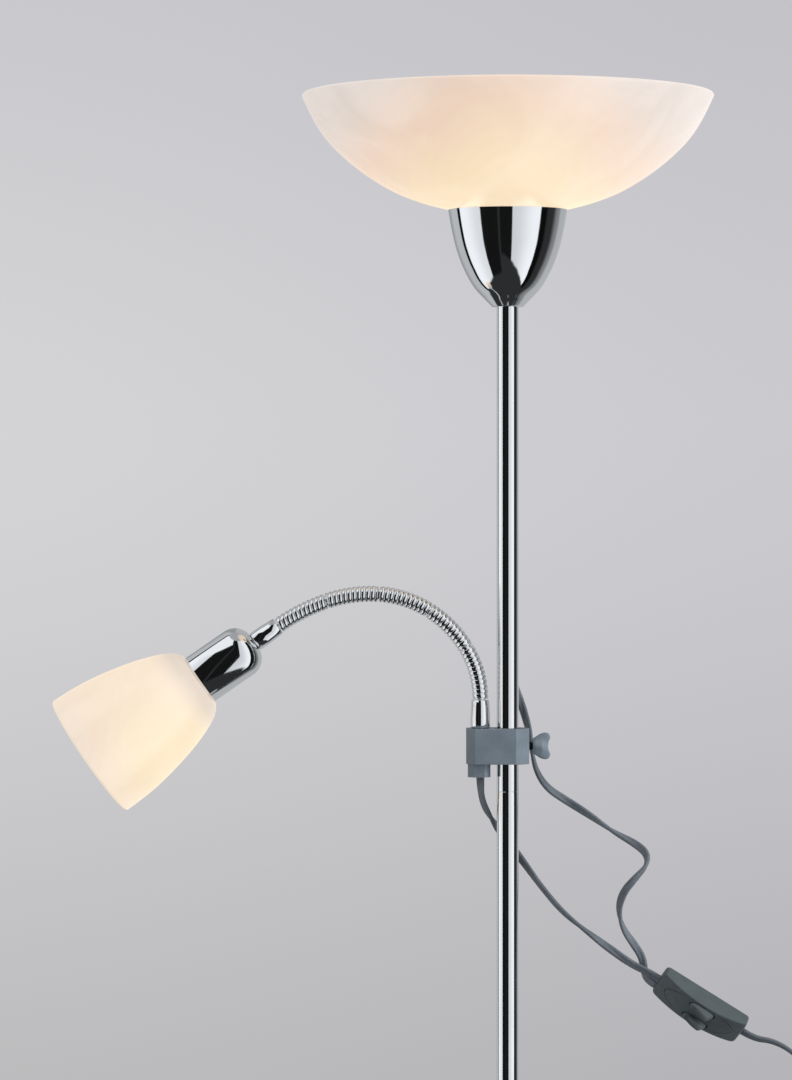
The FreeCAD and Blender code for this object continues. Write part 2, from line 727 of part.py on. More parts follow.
def reading_lampholder():
    stop = HEAD_CUP_L + HEAD_HOLDER_ABOVE
    body = rod(HEAD_HOLDER_R, HEAD_HOLDER_START, stop)
    body = body.fuse(rod(HEAD_FLANGE_R, HEAD_CUP_L - HEAD_FLANGE_T, HEAD_CUP_L))
    body = body.cut(rod(HEAD_HOLDER_BORE_R, HEAD_HOLDER_START + HEAD_HOLDER_FLOOR, stop + 1))
    return body.cut(rod(STEM_R, HEAD_HOLDER_START - 1, HEAD_HOLDER_START + HEAD_HOLDER_FLOOR + 1))


def reading_shade_ring():
    start = HEAD_CUP_L + SHADE_WALL + RUN_FIT
    return tube(HEAD_HOLDER_R + HEAD_RING_RIM, HEAD_HOLDER_R + RUN_FIT, start, start + HEAD_RING_T)


def reading_shade():
    """Opal glass: a flat top on the cup's rim, a round shoulder, sides that widen to the mouth."""
    cap = 1.4
    side = [(SHADE_SEAT_R, 0), (26.6, 4.2), (30.3, 10.0), (36.2, 24.5), (42.6, 48.0),
            (46.6, 71.0), (SHADE_RIM_R, SHADE_L - cap)]
    inside = beside(side, SHADE_WALL)
    inside[0] = (SHADE_SEAT_R - 1.2, SHADE_WALL)
    inside[-1] = (SHADE_RIM_R - SHADE_WALL, SHADE_L - cap)
    crest = (SHADE_RIM_R - SHADE_WALL / 2, SHADE_L)
    glass = turned((SHADE_HOLE_R, 0), side, (crest, inside[-1]), inside[::-1], (SHADE_HOLE_R, SHADE_WALL))
    return placed(glass, FreeCAD.Placement(V(0, 0, HEAD_CUP_L), FreeCAD.Rotation()))


def reading_bulb():
    stop = HEAD_CUP_L + HEAD_HOLDER_ABOVE
    cap = bulb_cap(HEAD_BULB_CAP_R, HEAD_BULB_CAP_L, stop - HEAD_BULB_CAP_L)
    glass = bulb_glass(HEAD_BULB_R, HEAD_BULB_L, HEAD_BULB_CAP_R - 0.4, stop)
    return cap, glass


# ---------------------------------------------------------------- switch

def switch_placement():
    slope = math.radians(SWITCH_SLOPE)
    roll = math.radians(SWITCH_ROLL)
    along = V(math.cos(slope), 0, -math.sin(slope))
    rise = V(math.sin(slope), 0, math.cos(slope))
    across = rise * math.cos(roll) - V(0, 1, 0) * math.sin(roll)
    out = along.cross(across)
    return FreeCAD.Placement(SWITCH_AT, FreeCAD.Rotation(along, across, out, "ZXY"))


def crowned(length, width, end_h, crown_h):
    """A block whose top is one arc along its length."""
    x = length / 2
    side = outline([(-x, 0), (-x, end_h), ((0, crown_h), (x, end_h)), (x, 0)])
    block = Part.Face(side).extrude(V(0, width, 0))
    block.translate(V(0, -width / 2, 0))
    return block


def cord_entries():
    """The round channels for the two lamp cords and the mains lead, on the parting line."""
    reach = SWITCH_L / 2
    left = [rod(CORD_R + RUN_FIT, -reach - 1, -reach + 6, V(1, 0, 0), V(0, y, 0))
            for y in (UPLIGHT_ENTRY, READING_ENTRY)]
    return left + [rod(CORD_R + RUN_FIT, reach - 6, reach + 1, V(1, 0, 0))]


def switch_back():
    block = Part.makeBox(SWITCH_L, SWITCH_W, SWITCH_BACK_H, V(-SWITCH_L / 2, -SWITCH_W / 2, -SWITCH_BACK_H))
    block = block.makeFillet(SWITCH_CORNER, upright_edges(block))
    low = [edge for edge in block.Edges if edge.BoundBox.ZMax < -SWITCH_BACK_H + 1e-3]
    block = block.makeFillet(SWITCH_EDGE, low)
    inner_l = SWITCH_L - 2 * SWITCH_WALL
    inner_w = SWITCH_W - 2 * SWITCH_WALL
    block = block.cut(Part.makeBox(inner_l, inner_w, SWITCH_BACK_H,
                                   V(-inner_l / 2, -inner_w / 2, SWITCH_WALL - SWITCH_BACK_H)))
    for side in (-1, 1):
        at = V(side * SCREW_X, 0, 0)
        block = block.fuse(rod(BOSS_R, SWITCH_WALL - SWITCH_BACK_H - 0.2, 0, at=at))
        block = block.cut(rod(SCREW_R + SEAT_FIT, -SWITCH_BACK_H - 1, 1, at=at))
        head_top = SCREW_HEAD_T - SWITCH_BACK_H
        block = block.cut(rod(SCREW_HEAD_R + SEAT_FIT, -SWITCH_BACK_H - 1, head_top, at=at))
    for channel in cord_entries():
        block = block.cut(channel)
    return block


def switch_front():
    """The crowned half, with a slot for each rocker and cheeks that hold their pin."""
    block = crowned(SWITCH_L, SWITCH_W, SWITCH_END_H, SWITCH_CROWN_H)
    block = block.makeFillet(SWITCH_CORNER, upright_edges(block))
    top = [edge for edge in block.Edges if edge.BoundBox.ZMin > max(1e-3, SWITCH_END_H - 1)]
    block = skin = block.makeFillet(SWITCH_EDGE, top)
    block = block.cut(crowned(SWITCH_L - 2 * SWITCH_WALL, SWITCH_W - 2 * SWITCH_WALL,
                              SWITCH_END_H - SWITCH_WALL, SWITCH_CROWN_H - SWITCH_WALL))
    pivot = ROCKER_PIVOT
    slot_w = ROCKER_W + 2 * ROCKER_GAP
    outside = ROCKER_Y + slot_w / 2 + CHEEK_T / 2
    for y in (-outside, 0, outside):
        corner = V(pivot.x - CHEEK_L / 2, y - CHEEK_T / 2, pivot.z - CHEEK_DROP)
        cheek = Part.makeBox(CHEEK_L, CHEEK_T, SWITCH_CROWN_H - corner.z, corner)
        block = block.fuse(cheek.common(skin))
    for side in (-1, 1):
        start, stop = ROCKER_SLOT
        corner = V(start, side * ROCKER_Y - slot_w / 2, pivot.z - ROCKER_SLOT_DEPTH)
        block = block.cut(Part.makeBox(stop - start, slot_w, SWITCH_CROWN_H, corner))
        at = V(side * SCREW_X, 0, 0)
        block = block.fuse(rod(BOSS_R, 0, SWITCH_CROWN_H, at=at).common(skin))
        block = block.cut(rod(SCREW_R, -1, SWITCH_END_H, at=at))
    block = block.cut(rod(ROCKER_PIN_R + RUN_FIT, -SWITCH_W / 2 + SWITCH_WALL, SWITCH_W / 2 - SWITCH_WALL,
                          V(0, 1, 0), pivot))
    for channel in cord_entries():
        block = block.cut(channel)
    return block


def rocker(side):
    """A rocker that rises from a low end to a nose, and falls steeply from there to its tip."""
    side_view = outline([(-8.6, 12.9), ((-8.5, 11.4), (-7.4, 10.4)), (-2.6, 6.4), (5.6, 6.4), (9.6, 10.0),
                         ((11.2, 11.2), (10.9, 12.8)), (8.6, 17.2), ((7.3, 19.0), (5.2, 18.8)), (-7.2, 13.8),
                         ((-8.2, 13.6), (-8.6, 12.9))])
    body = Part.Face(side_view).extrude(V(0, ROCKER_W, 0))
    body.translate(V(0, side * ROCKER_Y - ROCKER_W / 2, 0))
    return body.cut(rod(ROCKER_PIN_R + RUN_FIT, -SWITCH_W, SWITCH_W, V(0, 1, 0), ROCKER_PIVOT))


def rocker_pin():
    reach = SWITCH_W / 2 - SWITCH_WALL - 0.1
    return rod(ROCKER_PIN_R, -reach, reach, V(0, 1, 0), ROCKER_PIVOT)


def switch_terminals():
    """Three brass terminal blocks on the floor of the back half."""
    floor = SWITCH_WALL - SWITCH_BACK_H
    size = TERMINAL
    return Part.makeCompound([Part.makeBox(size.x, size.y, size.z, V(x - size.x / 2, y - size.y / 2, floor))
                              for x, y in TERMINAL_AT])


def switch_screws():
    screws = []
    for side in (-1, 1):
        at = V(side * SCREW_X, 0, 0)
        head = rod(SCREW_HEAD_R, 0.1 - SWITCH_BACK_H, SCREW_HEAD_T - SWITCH_BACK_H, at=at)
        shank = rod(SCREW_R - RUN_FIT, SCREW_HEAD_T - SWITCH_BACK_H, SWITCH_END_H - 1, at=at)
        screws.append(head.fuse(shank))
    return Part.makeCompound(screws)


# ---------------------------------------------------------------- cords

def switch_end(x, across):
    return switch_placement().multVec(V(x, across, 0))


READING_SPLIT = V(1.0, 16.5, 1252.0)   # where the swivelling stretch ends, behind the pole

READING_UPPER = [V(ARM_X, 0, GLAND_Z), V(-20, 0, 1291), V(-17.2, 5, 1279.5), V(-9.5, 13, 1266),
                 READING_SPLIT]

READING_LOWER = [READING_SPLIT, V(11.5, 20, 1238), V(24, 18.5, 1220.6), V(40.2, 17, 1201),
                 V(57.5, 16.4, 1187.2), V(76, 16, 1173.4), V(92, 15.2, 1162.2),
                 switch_end(-SWITCH_L / 2 - 9, READING_ENTRY), switch_end(-SWITCH_L / 2, READING_ENTRY)]

UPLIGHT_CORD = [V(0, POLE_R + GROMMET_FLANGE_T, EXIT_Z), V(0, 21, EXIT_Z), V(1.8, 31.5, 1376.5),
                V(5.2, 39.5, 1369), V(9.0, 43.5, 1358.5), V(13.6, 43.5, 1345), V(17.4, 42, 1330.5),
                V(19.2, 40, 1315), V(22.6, 38.5, 1301.5), V(30.5, 37, 1290), V(43, 35.5, 1282),
                V(61, 31, 1271), V(79, 25, 1258.6), V(93.5, 17, 1251.5), V(102.5, 9, 1244.5),
                V(102, 4, 1236), V(93, 1.5, 1227), V(84.5, 5, 1216.5), V(81.2, 11.5, 1203),
                V(85, 18, 1188.5), V(93.4, 23.5, 1176.5), V(99.8, 25, 1166.8), V(101.0, 22.5, 1157.5),
                switch_end(-SWITCH_L / 2 - 7, UPLIGHT_ENTRY), switch_end(-SWITCH_L / 2, UPLIGHT_ENTRY)]

COIL_LOW_Z = FLOOR_GAP + TIE_T + SEAT_FIT + CORD_R
COIL_STEP = CORD_D + COIL_GAP
COIL_LEG = (COIL_TURNS - COIL_CLIMB) / 2
COIL_OUT_R = MAIN_COIL_R + COIL_STEP * COIL_LEG / 2
COIL_ENTRY = V(COIL_X + COIL_OUT_R, COIL_Y, COIL_LOW_Z)

MAINS_LEAD = [switch_end(SWITCH_L / 2, 0), switch_end(SWITCH_L / 2 + 11, 0), V(195, 14, 1106.6),
              V(209.5, 14, 1098.6), V(220.5, 13.5, 1086), V(228.5, 12.5, 1068), V(233.5, 11, 1040),
              V(236, 9, 996), V(235.5, 6.5, 925), V(232, 3, 850), V(227.5, -1.5, 775), V(223.5, -7, 700),
              V(221.5, -13, 622), V(222.5, -18.5, 545), V(226, -22.5, 467), V(230, -25, 390),
              V(232, -27.5, 312), V(230.5, -31, 236), V(226, -35.5, 163), V(220, -38.5, 103),
              V(214.5, -37.5, 58), V(210.5, -29, 24), V(208.4, -8, 7.5), V(COIL_ENTRY.x, 20, COIL_LOW_Z),
              COIL_ENTRY - V(0, CORD_D, 0)]


def coil_place(turn):
    """The coil's centreline: a spiral in on the floor, a climb, and a spiral out on top."""
    if turn < COIL_LEG:
        inward = turn
        level = 0.0
    elif turn < COIL_LEG + COIL_CLIMB:
        share = math.pi * (turn - COIL_LEG) / COIL_CLIMB
        inward = COIL_LEG + COIL_CLIMB * math.sin(share) / math.pi
        level = (1 - math.cos(share)) / 2
    else:
        inward = COIL_TURNS - turn
        level = 1.0
    radius = COIL_OUT_R - COIL_STEP * inward
    angle = 2 * math.pi * turn
    return V(COIL_X + radius * math.cos(angle), COIL_Y + radius * math.sin(angle),
             COIL_LOW_Z + COIL_STEP * level)


def mains_coil():
    """The put-away length, one unbroken tube from the lead's end to the plug's neck."""
    gap = least_gap(coil_place, 0, COIL_TURNS, CORD_D)
    print(f"mains_coil: {COIL_TURNS} turns, least gap {gap:.2f}")
    edges, start, way_in, stop, way_out = wound_edges(coil_place, 1e-3, COIL_TURNS - 1e-3, 4)
    lead_in = biarc(COIL_ENTRY - V(0, CORD_D, 0), V(0, 1, 0), start, way_in)
    lead_out = biarc(stop, way_out, plug_centre() - V(0, RUN_FIT, 0), V(0.001, 1, 0).normalize())
    return swept(lead_in + edges + lead_out, CORD_R, "mains_coil")


def plug_centre():
    """Where the cord enters the plug's neck."""
    high = coil_place(COIL_TURNS)
    return V(high.x, high.y + PLUG_LEAD_L, high.z)


def coil_tie():
    """A band round the bundle of turns, at the side away from the plug."""
    sides = [coil_place(lap + 0.5).x for lap in range(COIL_TURNS)]
    inner_w = max(sides) - min(sides) + CORD_D + 2 * TIE_SLACK
    inner_h = COIL_STEP + CORD_D + 2 * SEAT_FIT
    left = min(sides) - CORD_R - TIE_SLACK
    low = COIL_LOW_Z - CORD_R - SEAT_FIT
    outer = Part.makeBox(inner_w + 2 * TIE_T, TIE_W, inner_h + 2 * TIE_T,
                         V(left - TIE_T, COIL_Y - TIE_W / 2, low - TIE_T))
    inner = Part.makeBox(inner_w, TIE_W + 2, inner_h, V(left, COIL_Y - TIE_W / 2 - 1, low))
    along = [edge for edge in outer.Edges if edge.BoundBox.YLength > TIE_W - 1e-3]
    return outer.makeFillet(TIE_CORNER, along).cut(inner)


# ---------------------------------------------------------------- plug

def plug_body():
    """A flat two-pin plug: a neck that tapers into a wide, thin body."""
    start = plug_centre()
    thick = 2 * (start.z - FLOOR_GAP)
    neck = Part.makeCone(CORD_R + 0.9, PLUG_NECK_R, PLUG_NECK_L, V(0, 0, 0), V(0, 1, 0))

    def section(y, width, height):
        side = height / 2 - min(PLUG_BEVEL, height / 2 - 1)
        half = [(-width / 2, -side), (PLUG_BEVEL - width / 2, -height / 2),
                (width / 2 - PLUG_BEVEL, -height / 2), (width / 2, -side)]
        corners = half + [(x, -z) for x, z in half[::-1]]
        points = [V(x, y, z) for x, z in corners]
        return Part.makePolygon(points + points[:1])

    waist = section(PLUG_NECK_L - 1, PLUG_WAIST_W, PLUG_WAIST_T)
    middle = section(PLUG_NECK_L + PLUG_L * 0.55, PLUG_W - 3, thick)
    front = section(PLUG_NECK_L + PLUG_L, PLUG_W, thick)
    body = Part.makeLoft([waist, middle, front], True, True)
    shape = body.fuse(neck)
    face = PLUG_NECK_L + PLUG_L
    for side in (-1, 1):
        shape = shape.cut(rod(PIN_R + RUN_FIT, face - PIN_SEAT, face + 1,
                              V(0, 1, 0), V(side * PIN_SPACING / 2, 0, 0)))
    return placed(shape, FreeCAD.Placement(start, FreeCAD.Rotation()))


def plug_pins():
    start = plug_centre()
    front = PLUG_NECK_L + PLUG_L
    pins = []
    for side in (-1, 1):
        pin = rod(PIN_R, front - PIN_SEAT, front + PIN_L, V(0, 1, 0), V(side * PIN_SPACING / 2, 0, 0))
        tip = [edge for edge in pin.Edges if edge.BoundBox.YMin > front + PIN_L - 1e-3]
        pins.append(pin.makeFillet(PIN_TIP, tip))
    return placed(Part.makeCompound(pins), FreeCAD.Placement(start, FreeCAD.Rotation()))


# ---------------------------------------------------------------- assembly

def build():
    parts = {
        "base_pad": base_pad(),
        "base_weight": base_weight(),
        "base_cover": base_cover(),
        "base_bolt": base_bolt(),
        "pole_inserts": pole_inserts(),
        "pole_section_top": pole_top_section(),
        "cord_grommet": cord_grommet(),
        "pole_cord": pole_cord(),
        "top_nipple": top_nipple(),
        "uplight_cup": uplight_cup(),
        "cup_locknut": cup_locknut(),
        "uplight_lampholder": uplight_lampholder(),
        "uplight_shade_ring": uplight_shade_ring(),
        "glass_bowl": glass_bowl(),
        "clamp_bush": clamp_bush(),
        "clamp_block": clamp_block(),
        "clamp_gland": clamp_gland(),
        "clamp_stud": clamp_stud(),
        "wing_knob": wing_knob(),
        "lower_ferrule": lower_ferrule(),
        "arm_lock_nut": arm_lock_nut(),
        "uplight_cord": cord(UPLIGHT_CORD, "uplight_cord"),
        "reading_cord_upper": cord(READING_UPPER, "reading_cord_upper"),
        "reading_cord_lower": cord(READING_LOWER, "reading_cord_lower"),
        "mains_lead": cord(MAINS_LEAD, "mains_lead"),
        "mains_coil": mains_coil(),
        "coil_tie": coil_tie(),
        "plug_body": plug_body(),
        "plug_pins": plug_pins(),
    }
    parts["uplight_bulb_cap"], parts["uplight_bulb_glass"] = uplight_bulb()
    for n in range(LOWER_SECTIONS):
        parts[f"pole_section_{n + 1}"] = pole_section(BASE_H + n * SECTION_L, SECTION_L)
    for n in range(len(LINK_TURNS)):
        parts[f"hose_core_{n + 1}"] = hose_core(n)
        parts[f"hose_coil_{n + 1}"] = hose_coil(n)

    head_cap, head_glass = reading_bulb()
    head = {"upper_ferrule": upper_ferrule(), "reading_cup": reading_cup(), "head_locknut": head_locknut(),
            "reading_lampholder": reading_lampholder(), "reading_shade_ring": reading_shade_ring(),
            "reading_shade": reading_shade(), "reading_bulb_cap": head_cap, "reading_bulb_glass": head_glass}
    for name, shape in head.items():
        parts[name] = placed(shape, head_placement())

    switch = {"switch_back": switch_back(), "switch_front": switch_front(),
              "uplight_rocker": rocker(1), "reading_rocker": rocker(-1), "rocker_pin": rocker_pin(),
              "switch_terminals": switch_terminals(), "switch_screws": switch_screws()}
    for name, shape in switch.items():
        parts[name] = placed(shape, switch_placement())
    return parts


for name, shape in build().items():
    if not shape.isValid():
        print(f"{name}: not a valid shape")
    shape.exportStep(f"parts/{name}.step")

for joint, (place, lean) in enumerate(link_frames()):
    print(f"bend {joint}: x {place.x:.3f} z {place.z:.3f} lean {math.degrees(lean):.1f}")
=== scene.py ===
"""The looks of a floor lamp with an opal bowl and a gooseneck reading light, round its fixed frame.

Metres. Z is up, the reading arm points along -X and the front of the lamp faces -Y. A piece is a
closed skin over a grid of points worked out as whole arrays; a finish is a material whose pattern
is read from Object coordinates.
"""

import json
import math

import bmesh
import bpy
import numpy as np
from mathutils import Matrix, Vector

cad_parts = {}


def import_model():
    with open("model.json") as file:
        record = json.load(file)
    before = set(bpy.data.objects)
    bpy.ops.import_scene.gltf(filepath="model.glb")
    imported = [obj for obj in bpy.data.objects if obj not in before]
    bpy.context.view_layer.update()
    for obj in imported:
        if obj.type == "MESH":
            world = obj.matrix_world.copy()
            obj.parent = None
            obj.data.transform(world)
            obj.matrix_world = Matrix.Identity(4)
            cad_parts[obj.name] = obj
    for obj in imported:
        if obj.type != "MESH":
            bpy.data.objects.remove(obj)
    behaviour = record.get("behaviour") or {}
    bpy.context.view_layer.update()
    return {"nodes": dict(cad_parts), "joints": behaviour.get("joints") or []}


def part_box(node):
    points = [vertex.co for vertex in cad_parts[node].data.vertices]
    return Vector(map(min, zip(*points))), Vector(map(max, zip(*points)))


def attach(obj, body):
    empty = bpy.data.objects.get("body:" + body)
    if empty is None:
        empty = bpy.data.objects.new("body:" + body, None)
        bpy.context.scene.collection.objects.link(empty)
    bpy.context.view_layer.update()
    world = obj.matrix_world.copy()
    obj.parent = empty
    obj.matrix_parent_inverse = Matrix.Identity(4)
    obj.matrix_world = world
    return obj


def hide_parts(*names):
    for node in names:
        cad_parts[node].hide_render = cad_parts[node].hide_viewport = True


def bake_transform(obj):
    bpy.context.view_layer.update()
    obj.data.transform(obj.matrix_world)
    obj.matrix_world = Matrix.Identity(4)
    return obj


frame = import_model()
NODES = frame["nodes"]
JOINTS = {joint["name"]: joint for joint in frame["joints"]}
MM = 0.001

# The photograph's frame and the camera that took it
PHOTO_H = 1080                    # rows
FOCAL_PX = 4107.0                 # focal length in pixels
CAMERA_AT = (-0.0816, -3.0, 1.524)
HORIZON_PX = 472                  # row of the camera's own height

# Gooseneck
LINK_TURNS = [31.0, 27.0, 28.5, 22.7, 15.4]   # degrees turned along each link at rest
LINK_L = 39.0 * MM
WIRE_GAP = 1.3 * MM               # between the windings of two links in the frame
HOSE_R = 5.9 * MM
HOSE_PITCH = 3.4 * MM
HOSE_RIB_H = 0.34 * MM            # height of its ribs
HOSE_GROOVE = 0.62 * MM           # depth of the fine groove between them
HOSE_GROOVE_W = 0.085             # and its half width, in pitches
HOSE_RINGS = 15                   # of points for each pitch
HOSE_SEGMENTS = 44                # of points round it
HOSE_END_GAP = 0.44 * MM          # from a length's end to the joint
HOSE_FOOT_GAP = 0.16 * MM         # and to a ferrule's joint
HOSE_END_DROP = 0.7 * MM          # depth of the ring groove at a length's end
SLEEVE_R = 3.7 * MM               # the sleeve joins two lengths
SLEEVE_BORE_R = 3.1 * MM
SLEEVE_REACH = 2.8 * MM           # past the joint
SOCKET_R = 4.35 * MM              # and the socket takes it
BORE_RINGS = 14

# Cords: a flat two-core flex
FLEX_W = 5.9 * MM
FLEX_T = 3.4 * MM
COILED_W = 5.0 * MM               # drawn in a little where it is coiled
FLEX_STEP = 1.1 * MM              # between rings of its skin
FLEX_SEGMENTS = 28                # of points round it
FLEX_POWER = 0.8                  # of the cosine and sine in its section
FLEX_DENT = 0.30                  # of its thickness, lost between the cores
FLEX_DENT_W = 0.9 * MM
FLEX_SWAY = 0.4                   # radians that it turns to and fro

# In-line switch: its middle on the parting plane, its fall along +X and its turn about its length
SWITCH_AT = np.array([141.8, 14.0, 1132.8]) * MM
SWITCH_SLOPE = math.radians(32.0)
SWITCH_ROLL = math.radians(35.0)
CASE_HALF_L = 35.6                # from here to the slot's top in millimetres, in the switch's frame
CASE_HALF_W = 11.0
CASE_CORNER = 3.4
CASE_EDGE = 1.5
CROWN_H = 12.0
CROWN_R = 83.2
ROCKER_HALF_L = 9.85
ROCKER_HALF_W = 2.8
ROCKER_MIDDLE = 1.2               # the point that its rings shrink to
SLOT_GAP = 0.35                   # beside a rocker
SLOT_FROM, SLOT_TO = -9.1, 12.1   # the room that a rocker needs to tilt
SLOT_FLOOR, SLOT_TOP = 5.2, 25.0
OVAL_HALF_L = 28.5 * MM           # of the line in the face
OVAL_HALF_W = 9.0 * MM


def switch_axes():
    """The switch's own axes: along it, across it and out of its face."""
    a = np.array([math.cos(SWITCH_SLOPE), 0.0, -math.sin(SWITCH_SLOPE)])
    up = np.array([math.sin(SWITCH_SLOPE), 0.0, math.cos(SWITCH_SLOPE)])
    n = -math.cos(SWITCH_ROLL) * np.array([0.0, 1.0, 0.0]) - math.sin(SWITCH_ROLL) * up
    return a, np.cross(n, a), n


# ---- shader tools

def arithmetic(operation):
    """The operator that adds a Math node, and its reflection for a number on the left."""
    def plain(self, other):
        return self.nodes.math_of(operation, self, other)

    def reflected(self, other):
        return self.nodes.math_of(operation, other, self)

    return plain, reflected


class Signal:
    """A node's output. Arithmetic on it adds Math nodes to the nodes it belongs to."""

    __add__, __radd__ = arithmetic("ADD")
    __sub__, __rsub__ = arithmetic("SUBTRACT")
    __mul__, __rmul__ = arithmetic("MULTIPLY")
    __truediv__, __rtruediv__ = arithmetic("DIVIDE")
    __pow__, __rpow__ = arithmetic("POWER")

    def __init__(self, nodes, socket):
        self.nodes = nodes
        self.socket = socket


class Nodes:
    """A node tree that nodes are added to."""

    def __init__(self, tree):
        self.tree = tree

    def feed(self, socket, value):
        """Links a signal to a socket, or sets the socket's own value."""
        if isinstance(value, Signal):
            self.tree.links.new(value.socket, socket)
        elif socket.type == "RGBA" and len(value) == 3:
            socket.default_value = (*value, 1.0)
        else:
            socket.default_value = value

    def add(self, kind, settings=(), values=(), output=0):
        """Adds a node: its settings first, then the values or links of its sockets."""
        made = self.tree.nodes.new(kind)
        for key, value in dict(settings).items():
            setattr(made, key, value)
        for key, value in dict(values).items():
            self.feed(made.inputs[key], value)
        return Signal(self, made.outputs[output]) if made.outputs else None

    def math_of(self, operation, *values):
        """A Math node of a named operation."""
        return self.add("ShaderNodeMath", {"operation": operation}, dict(enumerate(values)))

    def vector_of(self, operation, *values, output=0):
        """A Vector Math node of a named operation."""
        return self.add("ShaderNodeVectorMath", {"operation": operation}, dict(enumerate(values)), output)

    def colours(self, share, first, second):
        """The first colour at share 0, the second at share 1."""
        return self.add("ShaderNodeMix", {"data_type": "RGBA"}, {0: share, 6: first, 7: second}, 2)

    def ease(self, value, low, high, start=0.0, stop=1.0):
        """start below low, stop above high, a smooth step between."""
        return self.add("ShaderNodeMapRange", {"interpolation_type": "SMOOTHSTEP"},
                        {"Value": value, "From Min": low, "From Max": high, "To Min": start, "To Max": stop})

    def outputs(self, kind, values, names):
        """Several outputs of one node."""
        made = self.add(kind, {}, values).socket.node
        return [Signal(self, made.outputs[name]) for name in names]

    def stretched(self, vector, factors):
        return self.vector_of("MULTIPLY", vector, factors)

    def distance(self, place, centre, weights):
        """How far a place lies from a centre, each axis weighted."""
        middle = [part * weight for part, weight in zip(centre, weights)]
        return self.vector_of("DISTANCE", self.stretched(place, weights), middle, output="Value")

    def along(self, place, origin, axis):
        """How far a place lies from an origin along an axis."""
        local = self.vector_of("SUBTRACT", place, tuple(origin))
        return self.vector_of("DOT_PRODUCT", local, tuple(axis), output="Value")

    def noise(self, vector, scale, detail, roughness=0.5, distortion=0.0):
        return self.add("ShaderNodeTexNoise", {},
                        {"Vector": vector, "Scale": scale, "Detail": detail, "Roughness": roughness,
                         "Distortion": distortion})


class Finish(Nodes):
    """A material: its nodes, and the shader whose sockets they feed."""

    def __init__(self, name, sockets):
        self.material = bpy.data.materials.new(name)
        self.material.use_nodes = True
        super().__init__(self.material.node_tree)
        self.shader = self.tree.nodes["Principled BSDF"]
        self.set(sockets)

    def set(self, sockets):
        for key, value in sockets.items():
            self.feed(self.shader.inputs[key], value)

    def place(self):
        """Where a point lies in the lamp's frame."""
        return self.add("ShaderNodeTexCoord", {}, {}, "Object")

    def coat(self, sockets, height, depth):
        """Sets sockets and a bump, depth metres high where the height is 1, and gives the material."""
        bump = self.add("ShaderNodeBump", {}, {"Height": height, "Distance": depth})
        self.set({**sockets, "Normal": bump})
        return self.material


# ---- finishes

def chrome(name, tint, grain):
    """Bright plating: faint drawing lines along Z, a haze of handling marks and tiny pits."""
    finish = Finish(name, {"Metallic": 1.0})
    place = finish.place()
    lines = finish.noise(finish.stretched(place, grain), 900.0, 2.0)
    haze = finish.noise(place, 14.0, 4.0, 0.6)
    return finish.coat({
        "Base Color": finish.colours(finish.ease(haze, 0.35, 0.75), tint, [0.94 * part for part in tint]),
        "Roughness": 0.035 + 0.05 * finish.ease(haze, 0.45, 0.8) + 0.02 * lines,
    }, lines, 0.0000008)


def moulded(name, colour, grain, shine, groove=None):
    """Moulded plastic: a fine spark grain, slightly mottled colour and worn, smoother patches.

    groove gives the depth of a moulded line in metres, from the finish and the place.
    """
    finish = Finish(name, {"IOR": 1.48})
    place = finish.place()
    spark = finish.noise(place, 1600.0, 3.0, 0.65)
    mottle = finish.noise(place, 60.0, 4.0)
    worn = finish.ease(finish.noise(place, 22.0, 3.0), 0.52, 0.75)
    light = [1.16 * part for part in colour]
    dark = [0.86 * part for part in colour]
    shade = finish.ease(mottle, 0.3, 0.7) * 0.6 + 0.4 * finish.ease(spark, 0.35, 0.7)
    return finish.coat({
        "Base Color": finish.colours(shade, dark, light),
        "Roughness": shine + 0.16 * spark - 0.10 * worn,
    }, spark * grain - (groove(finish, place) if groove else 0.0), 1.0)


def oval_line(finish, place):
    """The two ends of an oval line in the switch's face: a groove 1 mm wide that fades to the middle.

    A point's distance from the oval is q (q - 1) over the length of (u / A^2, v / B^2), where A and B
    are the half axes and q is 1 on the oval.
    """
    a, w, _ = switch_axes()
    u = finish.along(place, SWITCH_AT, a)
    v = finish.along(place, SWITCH_AT, w)
    q = ((u / OVAL_HALF_L)**2.0 + (v / OVAL_HALF_W)**2.0)**0.5
    slope = ((u / OVAL_HALF_L**2)**2.0 + (v / OVAL_HALF_W**2)**2.0)**0.5
    off = finish.math_of("ABSOLUTE", q * (q - 1.0) / slope)
    ends = finish.ease(finish.math_of("ABSOLUTE", u), 12.0 * MM, 17.0 * MM)
    return 0.9 * MM * finish.ease(off, 0.1 * MM, 0.55 * MM, 1.0, 0.0) * ends


def flex_sheath():
    """The grey sheath of the flex: drawn smooth, with dull smears."""
    finish = Finish("flex_sheath", {"IOR": 1.5})
    place = finish.place()
    smear = finish.ease(finish.noise(place, 35.0, 4.0), 0.35, 0.7)
    fine = finish.noise(place, 1100.0, 2.0)
    return finish.coat({
        "Base Color": finish.colours(smear * 0.7 + 0.3 * fine, (0.080, 0.094, 0.110), (0.150, 0.172, 0.198)),
        "Roughness": 0.36 + 0.14 * smear + 0.06 * fine,
    }, fine, 0.00003)


